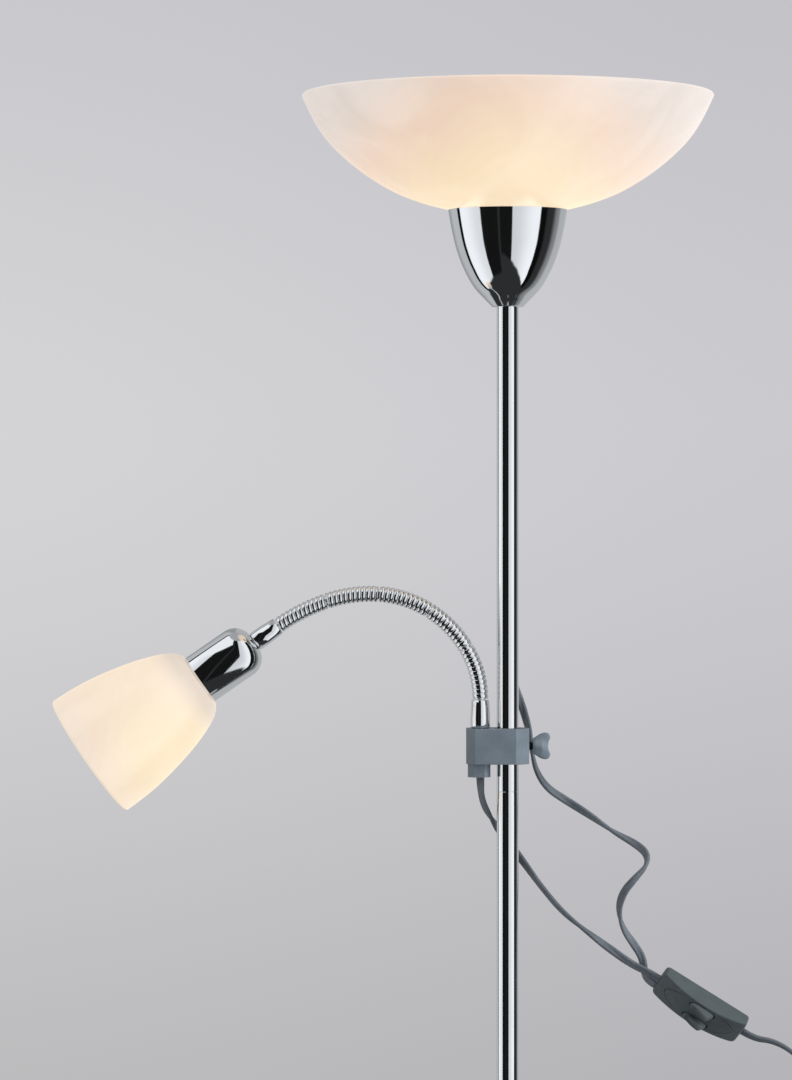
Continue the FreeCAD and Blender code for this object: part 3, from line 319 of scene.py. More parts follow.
def opal(name, bulb, hot_spot, reach, colours, flow, neck=None):
    """Lit opal glass with veils drawn through it: warm next to the bulb, paler and cooler far from it.

    The light falls off with the distance to the bulb, and again round the hot spot, whose distance is
    taken without Y, so that it shows from the front and the back. The veils are noise whose place is
    bent by slower noise, stretched along the glass by flow. colours are those far, midway and near.
    neck is a seat's place, the way out of it and the depth over which the seat shades the glass.
    """
    finish = Finish(name, {"IOR": 1.5, "Emission Strength": 1.0})
    place = finish.place()
    bend = finish.add("ShaderNodeTexNoise", {}, {"Vector": place, "Scale": 5.0, "Detail": 1.0}, "Color")
    pushed = finish.vector_of("MULTIPLY_ADD", bend, (0.22, 0.22, 0.22), place)
    veil = finish.noise(finish.stretched(pushed, flow), 11.0, 4.0, 0.6, 0.8)
    cloud = finish.noise(pushed, 4.0, 2.0, 0.5)
    ring = finish.math_of("SINE", finish.distance(place, hot_spot, (1.0, 0.4, 1.0)) * 620.0 + 9.0 * cloud)
    from_bulb = finish.distance(place, bulb, (1.0, 1.0, 1.0))
    from_spot = finish.distance(place, hot_spot, (1.0, 0.0, 1.0))
    wander = 0.3 * reach * (cloud - 0.5)
    warm = 0.55 * finish.ease(from_bulb + wander, reach * 1.15, reach * 0.3)
    warm = warm + 0.60 * finish.ease(from_spot + wander, reach * 0.95, 0.0)
    warm = finish.math_of("MINIMUM", warm + 0.10 * (veil - 0.5) + 0.012 * ring, 1.0)
    far, midway, near = colours
    glow = finish.colours(finish.ease(warm, 0.0, 0.5), far, midway)
    glow = finish.colours(finish.ease(warm, 0.4, 1.0), glow, near)
    if neck:
        seat, out, depth = neck
        shaded = finish.ease(finish.along(place, seat, out), 0.0, depth, 0.55, 0.0)
        glow = finish.colours(shaded, glow, (0.31, 0.25, 0.20))
    pale = finish.ease(veil, 0.35, 0.7)
    return finish.coat({
        "Base Color": finish.colours(pale, (0.17, 0.167, 0.164), (0.20, 0.197, 0.193)),
        "Emission Color": finish.colours(0.06 * pale, glow, (1.0, 1.0, 1.0)),
        "Roughness": 0.20 + 0.10 * cloud,
    }, veil, 0.00004)


def glowing(name, colour):
    """A lit frosted bulb."""
    finish = Finish(name, {"Base Color": (0.9, 0.86, 0.78), "Emission Strength": 1.0})
    frost = finish.noise(finish.place(), 300.0, 3.0)
    finish.set({
        "Emission Color": finish.colours(frost * 0.3, colour, (1.0, 0.93, 0.8)),
        "Roughness": 0.35 + 0.2 * frost,
    })
    return finish.material


def bare_metal(name, colour, roughness, metallic=1.0):
    """Turned or plated metal: fine tool marks and dull patches."""
    finish = Finish(name, {"Metallic": metallic})
    place = finish.place()
    marks = finish.noise(finish.stretched(place, (1.0, 1.0, 12.0)), 700.0, 2.0)
    patch = finish.noise(place, 40.0, 4.0)
    return finish.coat({
        "Base Color": finish.colours(finish.ease(patch, 0.3, 0.7), [0.82 * part for part in colour], colour),
        "Roughness": roughness + 0.12 * patch + 0.06 * marks,
    }, marks, 0.00001)


def foam():
    """Closed-cell foam: fine open bubbles on its cut faces, with painted shade in their hollows."""
    finish = Finish("foam", {"Roughness": 0.95})
    bubbles = finish.add("ShaderNodeTexVoronoi", {}, {"Vector": finish.place(), "Scale": 900.0})
    # Painted shade: each bubble is darker at its middle than at its walls, as if shade fell into the hollow.
    wall = finish.ease(bubbles, 0.1, 0.6)
    colour = finish.colours(wall, (0.012, 0.012, 0.013), (0.035, 0.035, 0.037))
    return finish.coat({"Base Color": colour}, bubbles, 0.0003)


CHROME = chrome("chrome", (0.86, 0.87, 0.89), (1.0, 1.0, 0.02))
CHROME_HOSE = chrome("chrome_hose", (0.86, 0.87, 0.89), (1.0, 1.0, 1.0))
CLAMP_GREY = moulded("clamp_grey", (0.152, 0.188, 0.220), 0.0001, 0.34)
SWITCH_PLAIN = moulded("switch_plain", (0.066, 0.082, 0.086), 0.0001, 0.36)
SWITCH_FACE = moulded("switch_face", (0.066, 0.082, 0.086), 0.0001, 0.36, oval_line)
BLACK_PLASTIC = moulded("black_plastic", (0.015, 0.015, 0.016), 0.00008, 0.3)
NYLON = moulded("nylon", (0.62, 0.61, 0.56), 0.00006, 0.4)
FLEX = flex_sheath()
ZINC = bare_metal("zinc", (0.62, 0.63, 0.65), 0.28)
BLACK_STEEL = bare_metal("black_steel", (0.02, 0.02, 0.022), 0.4)
CAP_METAL = bare_metal("cap_metal", (0.78, 0.78, 0.76), 0.3)
BRASS = bare_metal("brass", (0.74, 0.56, 0.28), 0.3)
IRON = bare_metal("painted_iron", (0.03, 0.03, 0.032), 0.6, 0.0)
FOAM = foam()


# ---- shape tools

def cells(rows, columns, wrap_rows):
    """The quads between neighbouring points of a grid. Its columns wrap, and its rows may."""
    row, column = np.meshgrid(np.arange(rows - (not wrap_rows)), np.arange(columns), indexing="ij")
    below = (row + 1) % rows
    beside = (column + 1) % columns
    corners = [(row, column), (row, beside), (below, beside), (below, column)]
    return np.stack([first * columns + second for first, second in corners], -1).reshape(-1, 4)


def sound(mesh):
    """Merges a mesh's doubles and turns its faces outwards."""
    tidy = bmesh.new()
    tidy.from_mesh(mesh)
    bmesh.ops.remove_doubles(tidy, verts=tidy.verts, dist=1e-7)
    bmesh.ops.recalc_face_normals(tidy, faces=tidy.faces)
    tidy.to_mesh(mesh)
    tidy.free()
    return mesh


def skin(name, grid, wrap_rows=False):
    """A closed skin over a grid of points, rows by columns by xyz."""
    mesh = bpy.data.meshes.new(name)
    mesh.from_pydata(grid.reshape(-1, 3).tolist(), [], cells(*grid.shape[:2], wrap_rows).tolist())
    return sound(mesh)


def placed(name, data):
    """An object at the origin."""
    made = bpy.data.objects.new(name, data)
    bpy.context.scene.collection.objects.link(made)
    return made


def finished(name, mesh, finish, body, crease, stands_for):
    """Shades and dresses a mesh, and sets it on its body in the place of CAD nodes."""
    mesh.shade_smooth()
    mesh.set_sharp_from_angle(angle=math.radians(crease))
    mesh.materials.append(finish)
    made = placed(name, mesh)
    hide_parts(*stands_for)
    if body:
        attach(made, body)
    return made


def piece(name, grid, finish, body, stands_for, wrap_rows=False, crease=50.0):
    """A finished skin over a grid of points."""
    return finished(name, skin(name, grid, wrap_rows), finish, body, crease, stands_for)


def mm_points(*points):
    """Points given in millimetres."""
    return [np.array(point, float) * MM for point in points]


def curve(points, steps):
    """A smooth curve through points: cubics whose slope at each point weighs its two runs by length."""
    p = np.array(points, float)
    run = np.diff(p, axis=0)
    length = np.linalg.norm(run, axis=1)[:, None]
    slope = run / length
    inner = (slope[:-1] * length[1:] + slope[1:] * length[:-1]) / (length[:-1] + length[1:])
    first = 1.5 * slope[:1] - 0.5 * inner[:1]
    last = 1.5 * slope[-1:] - 0.5 * inner[-1:]
    m = np.concatenate([first, inner, last])
    t = (np.arange(steps) / steps)[None, :, None]
    a, b = p[:-1, None], p[1:, None]
    ma, mb = m[:-1, None] * length[:, None], m[1:, None] * length[:, None]
    inside = ((2 * t**3 - 3 * t**2 + 1) * a + (t**3 - 2 * t**2 + t) * ma
              + (3 * t**2 - 2 * t**3) * b + (t**3 - t**2) * mb)
    return np.concatenate([inside.reshape(-1, p.shape[1]), p[-1:]])


def rounded(half_l, half_w, size):
    """A rectangle whose corners are arcs of six steps.

    Each arc is a parabola that leaves one side at size from the corner and joins the other there.
    """
    t = np.linspace(0, 1, 7)[:, None]
    out = []
    for x, y in ((1, 1), (-1, 1), (-1, -1), (1, -1)):
        corner = np.array([x * half_l, y * half_w])
        sides = [corner - (0, y * size), corner - (x * size, 0)]
        first, last = sides if x == y else sides[::-1]
        out.append((1 - t)**2 * first + 2 * t * (1 - t) * corner + t**2 * last)
    return np.concatenate(out)


def run_along(points):
    """The distance run at each point of a line."""
    return np.concatenate([[0], np.cumsum(np.linalg.norm(np.diff(points, axis=0), axis=1))])


def read_at(at, run, points):
    """Places at distances along a line whose points have the distances run."""
    return np.stack([np.interp(at, run, part) for part in points.T], -1)


def directions(points):
    """The direction of a line at each of its points."""
    along = np.gradient(points, axis=0)
    return along / np.linalg.norm(along, axis=1)[:, None]


def turns_of(count):
    """Even angles round a full turn."""
    return 2 * math.pi * np.arange(count) / count


def evened(outline, count):
    """Even steps along a closed outline."""
    loop = np.concatenate([outline, outline[:1]])
    run = run_along(loop)
    return read_at(np.linspace(0, run[-1], count, endpoint=False), run, loop)


def mirrored(upper, count):
    """Even steps round an outline, from its upper half and that half's mirror image."""
    return evened(np.concatenate([upper, (upper * (1, -1))[-2:0:-1]]), count)


def turned(profile, segments, base, along):
    """Profile points (r, z) turned about an axis: base + z along + r (cos a, sin a) across it."""
    axis = Vector(along).normalized()
    across = Vector((0, -1, 0)) if abs(axis.y) < 0.9 else Vector((1, 0, 0))
    other = np.array(axis.cross(across))
    angle = turns_of(segments)
    ring = np.cos(angle)[:, None] * np.array(across) + np.sin(angle)[:, None] * other
    r, z = np.array(profile, float).T
    return np.array(base) + z[:, None, None] * np.array(axis) + r[:, None, None] * ring[None]


def lathe(name, profile, finish, body, node, segments=96, base=(0, 0, 0), along=(0, 0, 1),
          crease=50.0):
    """A closed outline turned about an axis, in the place of a node."""
    return piece(name, turned(profile, segments, base, along), finish, body, [node], True, crease)


def offset(side, wall, low, high):
    """The inner side of a glass wall: side moved in by wall, between two heights."""
    along = directions(side)
    inside = side + wall * np.stack([-along[:, 1], along[:, 0]], -1)
    return inside[(inside[:, 1] > low) & (inside[:, 1] < high)]


def dress(finish, *names):
    """Gives CAD nodes their finish."""
    for name in names:
        mesh = NODES[name].data
        mesh.materials.clear()
        mesh.materials.append(finish)


# ---- base and pole

def base_pieces():
    """A spun chrome dish with a rolled lower edge."""
    low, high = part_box("base_cover")
    rim = high.x
    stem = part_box("pole_section_1")[1].x
    wall = 0.8 * MM
    top = high.z
    dish = curve([(rim, low.z + 5.6 * MM), (rim - 3 * MM, low.z + 9.6 * MM), (rim - 14 * MM, low.z + 13 * MM),
                  (rim * 0.5, top - 2.6 * MM), (2 * stem, top - 0.05 * MM)], 14)
    hem = curve([(rim - wall, low.z + 0.2 * MM), (rim - 0.3 * MM, low.z), (rim, low.z + 0.6 * MM)], 5)
    inner = curve([(2 * stem, top - wall), (rim * 0.5, top - 2.6 * MM - wall),
                   (rim - 14.3 * MM, low.z + 12.2 * MM), (rim - 3.7 * MM, low.z + 8.9 * MM),
                   (rim - wall, low.z + 5 * MM)], 6)
    hole = 5.1 * MM
    outline = np.concatenate([hem, dish, [(hole, top), (hole, top - wall)], inner])
    lathe("base_cover_skin", outline, CHROME, "root", "base_cover", 192, crease=35.0)


def pole_pieces():
    """Plated tubes whose ends are drawn in a little, so that each seam is a fine dark line."""
    wall = 1.0 * MM
    end = np.array([(0.28, 0.0), (0.1, 0.12), (0.0, 0.5)]) * MM    # drawn in, at a distance from the end
    for node in [f"pole_section_{n}" for n in (1, 2, 3)]:
        low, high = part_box(node)
        radius = high.x
        outline = [(radius - drawn, low.z + at) for drawn, at in end]
        outline += [(radius, z) for z in np.linspace(low.z, high.z, 9)[1:-1]]
        outline += [(radius - drawn, high.z - at) for drawn, at in end[::-1]]
        outline += [(radius - wall, high.z), (radius - wall, low.z)]
        lathe(node + "_tube", outline, CHROME, "root", node)


# ---- uplight

def uplight_pieces():
    """The spun cup, the opal bowl with its softly ground rim, and the lit bulb."""
    low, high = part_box("uplight_cup")
    foot, rim = low.z, high.x
    outer = mm_points((11.6, 0.4), (16.2, 5.1), (23.6, 13.1), (31.4, 26.3), (36.9, 40.2), (40.4, 54.0))
    outer = curve(outer + [(rim, high.z - foot - 0.7 * MM)], 12)
    wall = 0.9 * MM
    inner = outer[::-4] + (-wall, 0.35 * wall)
    hole = 5.05 * MM
    lip = [(rim - 0.2 * MM, high.z - foot - 0.15 * MM), (rim - wall, high.z - foot)]
    outline = np.concatenate([[(hole, 0), (10.9 * MM, 0)], outer, lip, inner[1:-1], [(hole, wall)]])
    lathe("uplight_cup_skin", outline, CHROME, "root", "uplight_cup", 192, (0, 0, foot))

    low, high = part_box("glass_bowl")
    seat, height, rim = low.z, high.z - low.z, high.x
    side = mm_points((44.5, 0), (63.0, 4.9), (80.2, 11.4), (101.0, 23.3), (117.0, 35.4), (133.6, 52.2))
    side = curve(side + [(rim - 0.15 * MM, height - 2.2 * MM)], 14)
    wall = 4.0 * MM
    inside = offset(side, wall, wall, height - 2.4 * MM)
    crest = curve([(rim, height - 1.3 * MM), (rim - 0.9 * MM, height - 0.25 * MM), (rim - wall / 2, height),
                   (rim - wall + 0.7 * MM, height - 0.3 * MM), (rim - wall - 0.1 * MM, height - 1.5 * MM)], 4)
    hole = 20.5 * MM
    outline = np.concatenate([[(hole, 0)], side, crest, inside[::-1], [(43.5 * MM, wall), (hole, wall)]])
    finish = opal("opal_bowl", (0.0, 0.0, seat + 0.04), (-0.003, -0.085, seat + 0.012), 0.15,
                  ((0.60, 0.525, 0.475), (0.735, 0.54, 0.41), (0.85, 0.665, 0.43)), (1.0, 1.0, 1.7))
    lathe("glass_bowl_skin", outline, finish, "root", "glass_bowl", 256, (0, 0, seat),
          crease=60.0)
    dress(glowing("uplight_glow", (1.0, 0.78, 0.48)), "uplight_bulb_glass")


# ---- reading head

def joint_places():
    """The places of the hose's bend joints, foot to head, and the hose's lean at each in radians."""
    names = ["hose_bend"] + [f"hose_bend_{n}" for n in range(2, len(LINK_TURNS) + 2)]
    places = np.array([JOINTS[name]["pos_m"] for name in names])
    leans = np.radians(np.concatenate([[0.0], np.cumsum(LINK_TURNS)]))
    return places, leans


def head_axis():
    """The apex of the reading head's cup and the direction its axis runs, to the shade's mouth."""
    places, leans = joint_places()
    along = np.array([-math.sin(leans[-1]), 0.0, math.cos(leans[-1])])
    return places[-1] + along * (WIRE_GAP / 2 + 20.8 * MM), along


def head_pieces():
    """Ferrule, cup and shade of the reading light, turned about the head's own axis."""
    apex, along = head_axis()

    def on_head(name, outline, finish, node, segments, crease=50.0):
        lathe(name, outline, finish, "head", node, segments, tuple(apex), tuple(along), crease)

    spigot = [(1.95, -21.05), (3.3, -21.05), (3.3, -20.8)]
    barrel = [(6.0, -20.8), (6.45, -20.4), (6.75, -15.0), (7.1, -9.5), (7.1, -0.9), (6.6, -0.35), (5.9, 0.0)]
    stem = [(4.0, 0.0), (4.0, 16.0), (1.95, 16.0)]
    outline = np.array(spigot + barrel + stem) * MM
    on_head("upper_ferrule_skin", outline, CHROME, "upper_ferrule", 96)

    radius, shoulder, length, wall = 19.0, 14.0, 49.1, 0.9
    angle = np.linspace(0, math.pi / 2, 24)
    arc = np.stack([np.sin(angle), -np.cos(angle)], -1)
    crown = (radius - shoulder, shoulder) + shoulder * arc
    hollow = (radius - shoulder, shoulder) + (shoulder - wall) * arc[::-2]
    hem = [(radius, length - 0.5), (radius - 0.25, length - 0.1), (radius - wall, length)]
    outline = np.concatenate([[(4.05, 0.0)], crown, hem, hollow, [(4.05, wall)]]) * MM
    on_head("reading_cup_skin", outline, CHROME, "reading_cup", 160)

    seat, depth, rim, wall = 49.1, 97.4, 48.2, 3.4
    side = curve([(21.5, 0.0), (26.6, 4.2), (30.3, 10.0), (36.2, 24.5), (42.6, 48.0), (46.6, 71.0),
                  (rim - 0.1, depth - 2.0)], 14)
    inside = offset(side, wall, wall, depth - 2.2)
    crest = curve([(rim, depth - 1.2), (rim - 0.8, depth - 0.25), (rim - wall / 2, depth),
                   (rim - wall + 0.6, depth - 0.3), (rim - wall - 0.1, depth - 1.4)], 4)
    outline = np.concatenate([[(12.9, 0.0)], side, crest, inside[::-1], [(20.3, wall), (12.9, wall)]])
    outline[:, 1] += seat
    bulb = apex + along * 100 * MM
    hot = bulb + np.array([0.026, -0.04, -0.032])
    finish = opal("opal_shade", tuple(bulb), tuple(hot), 0.085,
                  ((0.66, 0.545, 0.46), (0.765, 0.61, 0.45), (0.78, 0.615, 0.375)), (1.4, 1.0, 1.0),
                  (tuple(apex + along * seat * MM), tuple(along), 0.022))
    on_head("reading_shade_skin", outline * MM, finish, "reading_shade", 224, 60.0)
    dress(glowing("reading_glow", (1.0, 0.80, 0.52)), "reading_bulb_glass")


# ---- gooseneck

def hose_line(distance):
    """Points and leans along the hose, by distance from the first bend joint.

    Within a link the hose is an arc: its lean grows evenly, and a point lies a chord away from the
    link's start, length sinc(half turn), along the mean lean. Past the end joints it is straight.
    """
    places, leans = joint_places()
    links = len(LINK_TURNS)
    at = np.floor(distance / LINK_L).astype(int)
    link = np.clip(at, 0, links)
    local = distance - link * LINK_L
    bend = np.concatenate([np.radians(LINK_TURNS) / LINK_L, [0.0]])[link] * (at >= 0)
    half = bend * local / 2
    mean = leans[link] + half
    chord = local * np.sinc(half / math.pi)
    points = places[link] + chord[:, None] * np.stack([-np.sin(mean), 0 * mean, np.cos(mean)], -1)
    return points, leans[link] + 2 * half


def hose_ring(distance, radius, angle):
    """Points round the hose: centre + radius (inward cos a + Y sin a)."""
    centre, lean = hose_line(distance)
    inward = np.stack([-np.cos(lean), 0 * lean, -np.sin(lean)], -1)
    out = np.cos(angle)[:, None] * inward[:, None] + np.sin(angle)[:, None] * np.array([0.0, 1.0, 0.0])
    return centre[:, None] + radius[..., None] * out


def hose_pieces():
    """Five lengths of the wound hose, each on its own link, with a sleeve that reaches into the next.

    The skin's radius follows a helix: with the phase p, the distance in pitches less the turn, a rib
    rises and falls as a cosine of p, and a fine groove, a bell curve, parts it from the next. Each end
    falls off to a fine ring groove, and stands far enough from the joint to tilt without touching.
    """
    links = len(LINK_TURNS)
    angle = turns_of(HOSE_SEGMENTS)
    for n in range(1, links + 1):
        start = (n - 1) * LINK_L + (HOSE_FOOT_GAP if n == 1 else HOSE_END_GAP)
        stop = n * LINK_L - (HOSE_FOOT_GAP if n == links else HOSE_END_GAP)
        outer = np.linspace(start, stop, round((stop - start) / HOSE_PITCH * HOSE_RINGS))
        phase = outer[:, None] / HOSE_PITCH - angle[None] / (2 * math.pi)
        off = phase - np.round(phase)
        rib = HOSE_RIB_H * (1 - np.cos(2 * math.pi * off)) / 2
        groove = HOSE_GROOVE * np.exp(-((0.5 - np.abs(off)) / HOSE_GROOVE_W)**2)
        to_end = np.minimum(outer - start, stop - outer)[:, None]
        ring = HOSE_END_DROP * np.exp(-(to_end / HOSE_END_GAP)**2)
        outside = hose_ring(outer, HOSE_R - np.maximum(rib + groove, ring), angle)
        reach = stop if n == links else n * LINK_L + SLEEVE_REACH
        socket = start + 2 * SLEEVE_REACH
        way = np.concatenate([[stop, reach], np.linspace(reach, socket, BORE_RINGS), [socket, start]])
        radii = np.repeat([SLEEVE_R, SLEEVE_BORE_R, SOCKET_R], [2, BORE_RINGS, 2])
        bore = hose_ring(way, np.repeat(radii[:, None], len(angle), 1), angle)
        piece(f"gooseneck_{n}", np.concatenate([outside, bore]), CHROME_HOSE, f"link_{n}",
              [f"hose_coil_{n}", f"hose_core_{n}"], True, 60.0)


def foot_pieces():
    """The chrome foot of the gooseneck: a straight collar, a slight taper and a hollow stem."""
    low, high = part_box("lower_ferrule")
    middle = (low.x + high.x) / 2
    top = high.z - 0.25 * MM
    foot = top - 20.5 * MM
    stem = low.z
    end = (stem - foot) / MM
    outline = [(1.95, 6.0), (1.95, 20.75), (3.3, 20.75), (3.3, 20.5), (6.0, 20.5), (6.45, 20.1), (6.75, 14.5),
               (7.05, 8.5), (7.1, 8.0), (7.1, 0.7), (6.9, 0.25), (6.4, 0.0), (4.0, 0.0), (4.0, end),
               (2.6, end), (2.6, 6.0)]
    lathe("lower_ferrule_skin", np.array(outline) * MM, CHROME, "arm_foot", "lower_ferrule",
          base=(middle, 0, foot))


# ---- switch

def in_switch(x, y, z):
    """Grids of places in the switch's frame, in millimetres, as points of the lamp's frame."""
    a, w, n = switch_axes()
    return SWITCH_AT + (x[..., None] * a + y[..., None] * w + z[..., None] * n) * MM


def switch_end(x, y):
    """A point of the switch's parting plane."""
    return in_switch(*np.array([x, y, 0.0]))


def beside_middle(joint):
    """How far a rocker's joint lies across the switch, in millimetres."""
    return np.dot(np.array(JOINTS[joint]["pos_m"]) - SWITCH_AT, switch_axes()[1]) / MM


def rocker_plan(grown=0.0):
    """A rocker seen from above: round at its low end, narrower at its tip."""
    upper = curve([(11.1, 0.0), (10.8, 1.15), (9.6, 1.9), (7.0, 2.5), (3.0, 2.78), (-4.0, 2.78), (-7.0, 2.3),
                   (-8.3, 1.2), (-8.6, 0.0)], 6)
    return mirrored(upper, 120) * (1 + grown / ROCKER_HALF_L, 1 + grown / ROCKER_HALF_W)


def crowned_height(x):
    """Height of the switch's face: an arc, 12 mm in the middle and 4 mm at its ends."""
    return CROWN_H - CROWN_R + np.sqrt(CROWN_R**2 - x**2)


def rocker_pieces():
    """Each rocker rises from its low end along an oval dish to a nose, and falls steeply to its tip.

    Rings of the plan, shrunk towards a point, stand at the top's height, less a cross fall, the dish
    and a rounded edge, and then at the underside's height.
    """
    top = curve([(-8.6, 13.0), (-7.2, 13.9), (-3.0, 15.5), (2.0, 17.5), (5.2, 18.3), (6.6, 18.2), (8.2, 16.6),
                 (9.6, 14.6), (10.8, 12.8), (11.1, 12.2)], 6)
    under = np.array([(-8.6, 12.0), (-7.4, 10.5), (-2.6, 6.5), (5.6, 6.5), (9.6, 10.1), (11.1, 11.5)])
    share = np.linspace(0, 1, 44)[:, None]
    plan = rocker_plan()
    x = ROCKER_MIDDLE + (plan[:, 0] - ROCKER_MIDDLE) * share
    y = plan[:, 1] * share
    across = y / ROCKER_HALF_W
    q = np.sqrt(((x + 0.9) / 6.0)**2 + (y / 1.95)**2)
    dish = 1.3 * np.clip(1 - q**2, 0, None)**0.5 - 0.3 * np.exp(-((q - 1.13) / 0.13)**2)
    height = np.interp(x, *top.T) - 0.9 * across**2 - dish - 0.9 * (1 - np.sqrt(1 - 0.99 * share**9))
    below = np.interp(x, *under.T)
    for node, body, joint in (("uplight_rocker", "uplight_button", "uplight_switch"),
                              ("reading_rocker", "reading_button", "reading_switch")):
        side = beside_middle(joint)
        grid = [in_switch(x, y + side, height), in_switch(x, y + side, below)[::-1]]
        piece(node + "_skin", np.concatenate(grid), SWITCH_PLAIN, body, [node])


def front_piece():
    """The switch's crowned half, less a slot round each rocker.

    Rings of a rounded plan go out along the parting plane, up the wall, over a round edge and in again
    on the crowned face. Each slot is cut by a prism of the rocker's plan, 0.35 mm wider on each side,
    and stretched to leave the rocker's ends the room that they need when it tilts.
    """
    edge_rings, face_rings = 7, 24
    plan = evened(rounded(CASE_HALF_L, CASE_HALF_W, CASE_CORNER), 260)
    turn = np.linspace(0, math.pi / 2, edge_rings)
    face = np.zeros(face_rings)
    inset = np.concatenate([[0, 0, 0], CASE_EDGE * (1 - np.cos(turn)), face + CASE_EDGE])[:, None]
    drop = np.concatenate([[0, 0, 0], CASE_EDGE * (1 - np.sin(turn)), face])[:, None]
    shrink = np.concatenate([[0], np.ones(2 + edge_rings), np.linspace(1, 0, face_rings + 1)[1:]])[:, None]
    x = plan[:, 0] * (1 - inset / CASE_HALF_L) * shrink
    y = plan[:, 1] * (1 - inset / CASE_HALF_W) * shrink
    height = crowned_height(x) - drop - 0.3 * (y / CASE_HALF_W)**2
    height[:2] = 0.0
    height[2] = 0.5 * (crowned_height(x[2]) - CASE_EDGE)
    block = placed("switch_front_block", skin("switch_front_block", in_switch(x, y, height)))
    cutters = []
    for joint in ("uplight_switch", "reading_switch"):
        slot = rocker_plan(SLOT_GAP)
        slot[:, 0] = np.interp(slot[:, 0], (slot[:, 0].min(), slot[:, 0].max()), (SLOT_FROM, SLOT_TO))
        spread = np.array([[0], [1], [1], [0]])
        level = np.repeat([SLOT_FLOOR, SLOT_TOP], 2)[:, None] + 0 * slot[:, 0]
        grid = in_switch(slot[:, 0] * spread, slot[:, 1] * spread + beside_middle(joint), level)
        cutters.append(placed(joint + "_slot", skin(joint + "_slot", grid)))
        cut = block.modifiers.new(joint, "BOOLEAN")
        cut.object, cut.operation, cut.solver = cutters[-1], "DIFFERENCE", "EXACT"
    mesh = bpy.data.meshes.new_from_object(block.evaluated_get(bpy.context.evaluated_depsgraph_get()))
    for made in [block] + cutters:
        bpy.data.objects.remove(made)
    finished("switch_front_skin", sound(mesh), SWITCH_FACE, "root", 40.0, ["switch_front"])


def wing_piece():
    """The butterfly knob: rings of its outline, thick at the hub and thinning to rounded lobes."""
    low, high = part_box("wing_knob")
    start, level = low.x / MM, (low.z + high.z) / 2 / MM
    upper = curve([(11.6, 0.0), (12.1, 2.9), (13.3, 6.3), (12.5, 8.6), (9.9, 9.75), (6.6, 9.1), (2.7, 6.8),
                   (0.3, 4.9), (0.05, 2.0), (0.05, 0.0)], 7)
    plan = mirrored(upper, 160)
    share = np.linspace(0, 1, 30)[:, None]
    middle = 6.6
    x = middle + (plan[:, 0] - middle) * share
    z = plan[:, 1] * share
    hub = 2.8 * np.exp(-(z / 3.4)**2) * np.clip((11.0 - x) / 4.0, 0, 1)
    half = (1.8 + hub) * np.sqrt(1 - 0.97 * share**7)
    grid = np.concatenate([np.stack([start + x, -half, level + z], -1),
                           np.stack([start + x, half, level + z], -1)[::-1]]) * MM
    piece("wing_knob_skin", grid, CLAMP_GREY, "wing", ["wing_knob"], crease=60.0)


# ---- cords

READING_UPPER = mm_points(
    (-20, 0, 1301.3), (-20, 0, 1291), (-17.2, 5, 1279.5), (-9.5, 13, 1266), (1, 16.5, 1252))

READING_LOWER = mm_points(
    (1, 16.5, 1252), (11.5, 20, 1238), (24, 18.5, 1220.6), (40.2, 17, 1201), (57.5, 16.4, 1187.2),
    (76, 16, 1173.4), (92, 15.2, 1162.2))
READING_LOWER += [switch_end(-44.6, 0.5), switch_end(-35.6, 0.5)]

UPLIGHT_CORD = mm_points(
    (0, 9.6, 1380), (0, 21, 1380), (1.8, 31.5, 1376.5), (5.2, 39.5, 1369), (9, 43.5, 1358.5),
    (13.6, 43.5, 1345), (17.4, 42, 1330.5), (19.2, 40, 1315), (22.6, 38.5, 1301.5), (30.5, 37, 1290),
    (43, 35.5, 1282), (61, 31, 1271), (79, 25, 1258.6), (93.5, 17, 1251.5), (102.5, 9, 1244.5),
    (102, 4, 1236), (93, 1.5, 1227), (84.5, 5, 1216.5), (81.2, 11.5, 1203), (85, 18, 1188.5),
    (93.4, 23.5, 1176.5), (99.8, 25, 1166.8), (101, 22.5, 1157.5))
UPLIGHT_CORD += [switch_end(-42.6, -6.5), switch_end(-35.6, -6.5)]

COIL_AT = np.array([172.0, 45.0]) * MM
COIL_TURNS = 3
COIL_CLIMB = 0.5                  # turns over which the coil climbs to its upper layer
COIL_LEG = (COIL_TURNS - COIL_CLIMB) / 2
COIL_OUT_R = 35.1875 * MM
COIL_STEP = 5.1 * MM
COIL_LOW_Z = 3.25 * MM
COIL_PER_TURN = 24                # points for each turn
MAINS_FREE_L = 1.18               # of the mains lead before its coil

MAINS_LEAD = [switch_end(35.6, 0), switch_end(46.6, 0)]
MAINS_LEAD += mm_points(
    (195, 14, 1106.6), (209.5, 14, 1098.6), (220.5, 13.5, 1086), (228.5, 12.5, 1068), (233.5, 11, 1040),
    (236, 9, 996), (235.5, 6.5, 925), (232, 3, 850), (227.5, -1.5, 775), (223.5, -7, 700),
    (221.5, -13, 622), (222.5, -18.5, 545), (226, -22.5, 467), (230, -25, 390), (232, -27.5, 312),
    (230.5, -31, 236), (226, -35.5, 163), (220, -38.5, 103), (214.5, -37.5, 58), (210.5, -29, 24),
    (208.4, -8, 7.5), (207.1875, 20, 3.25), (207.1875, 40.4, 3.25))


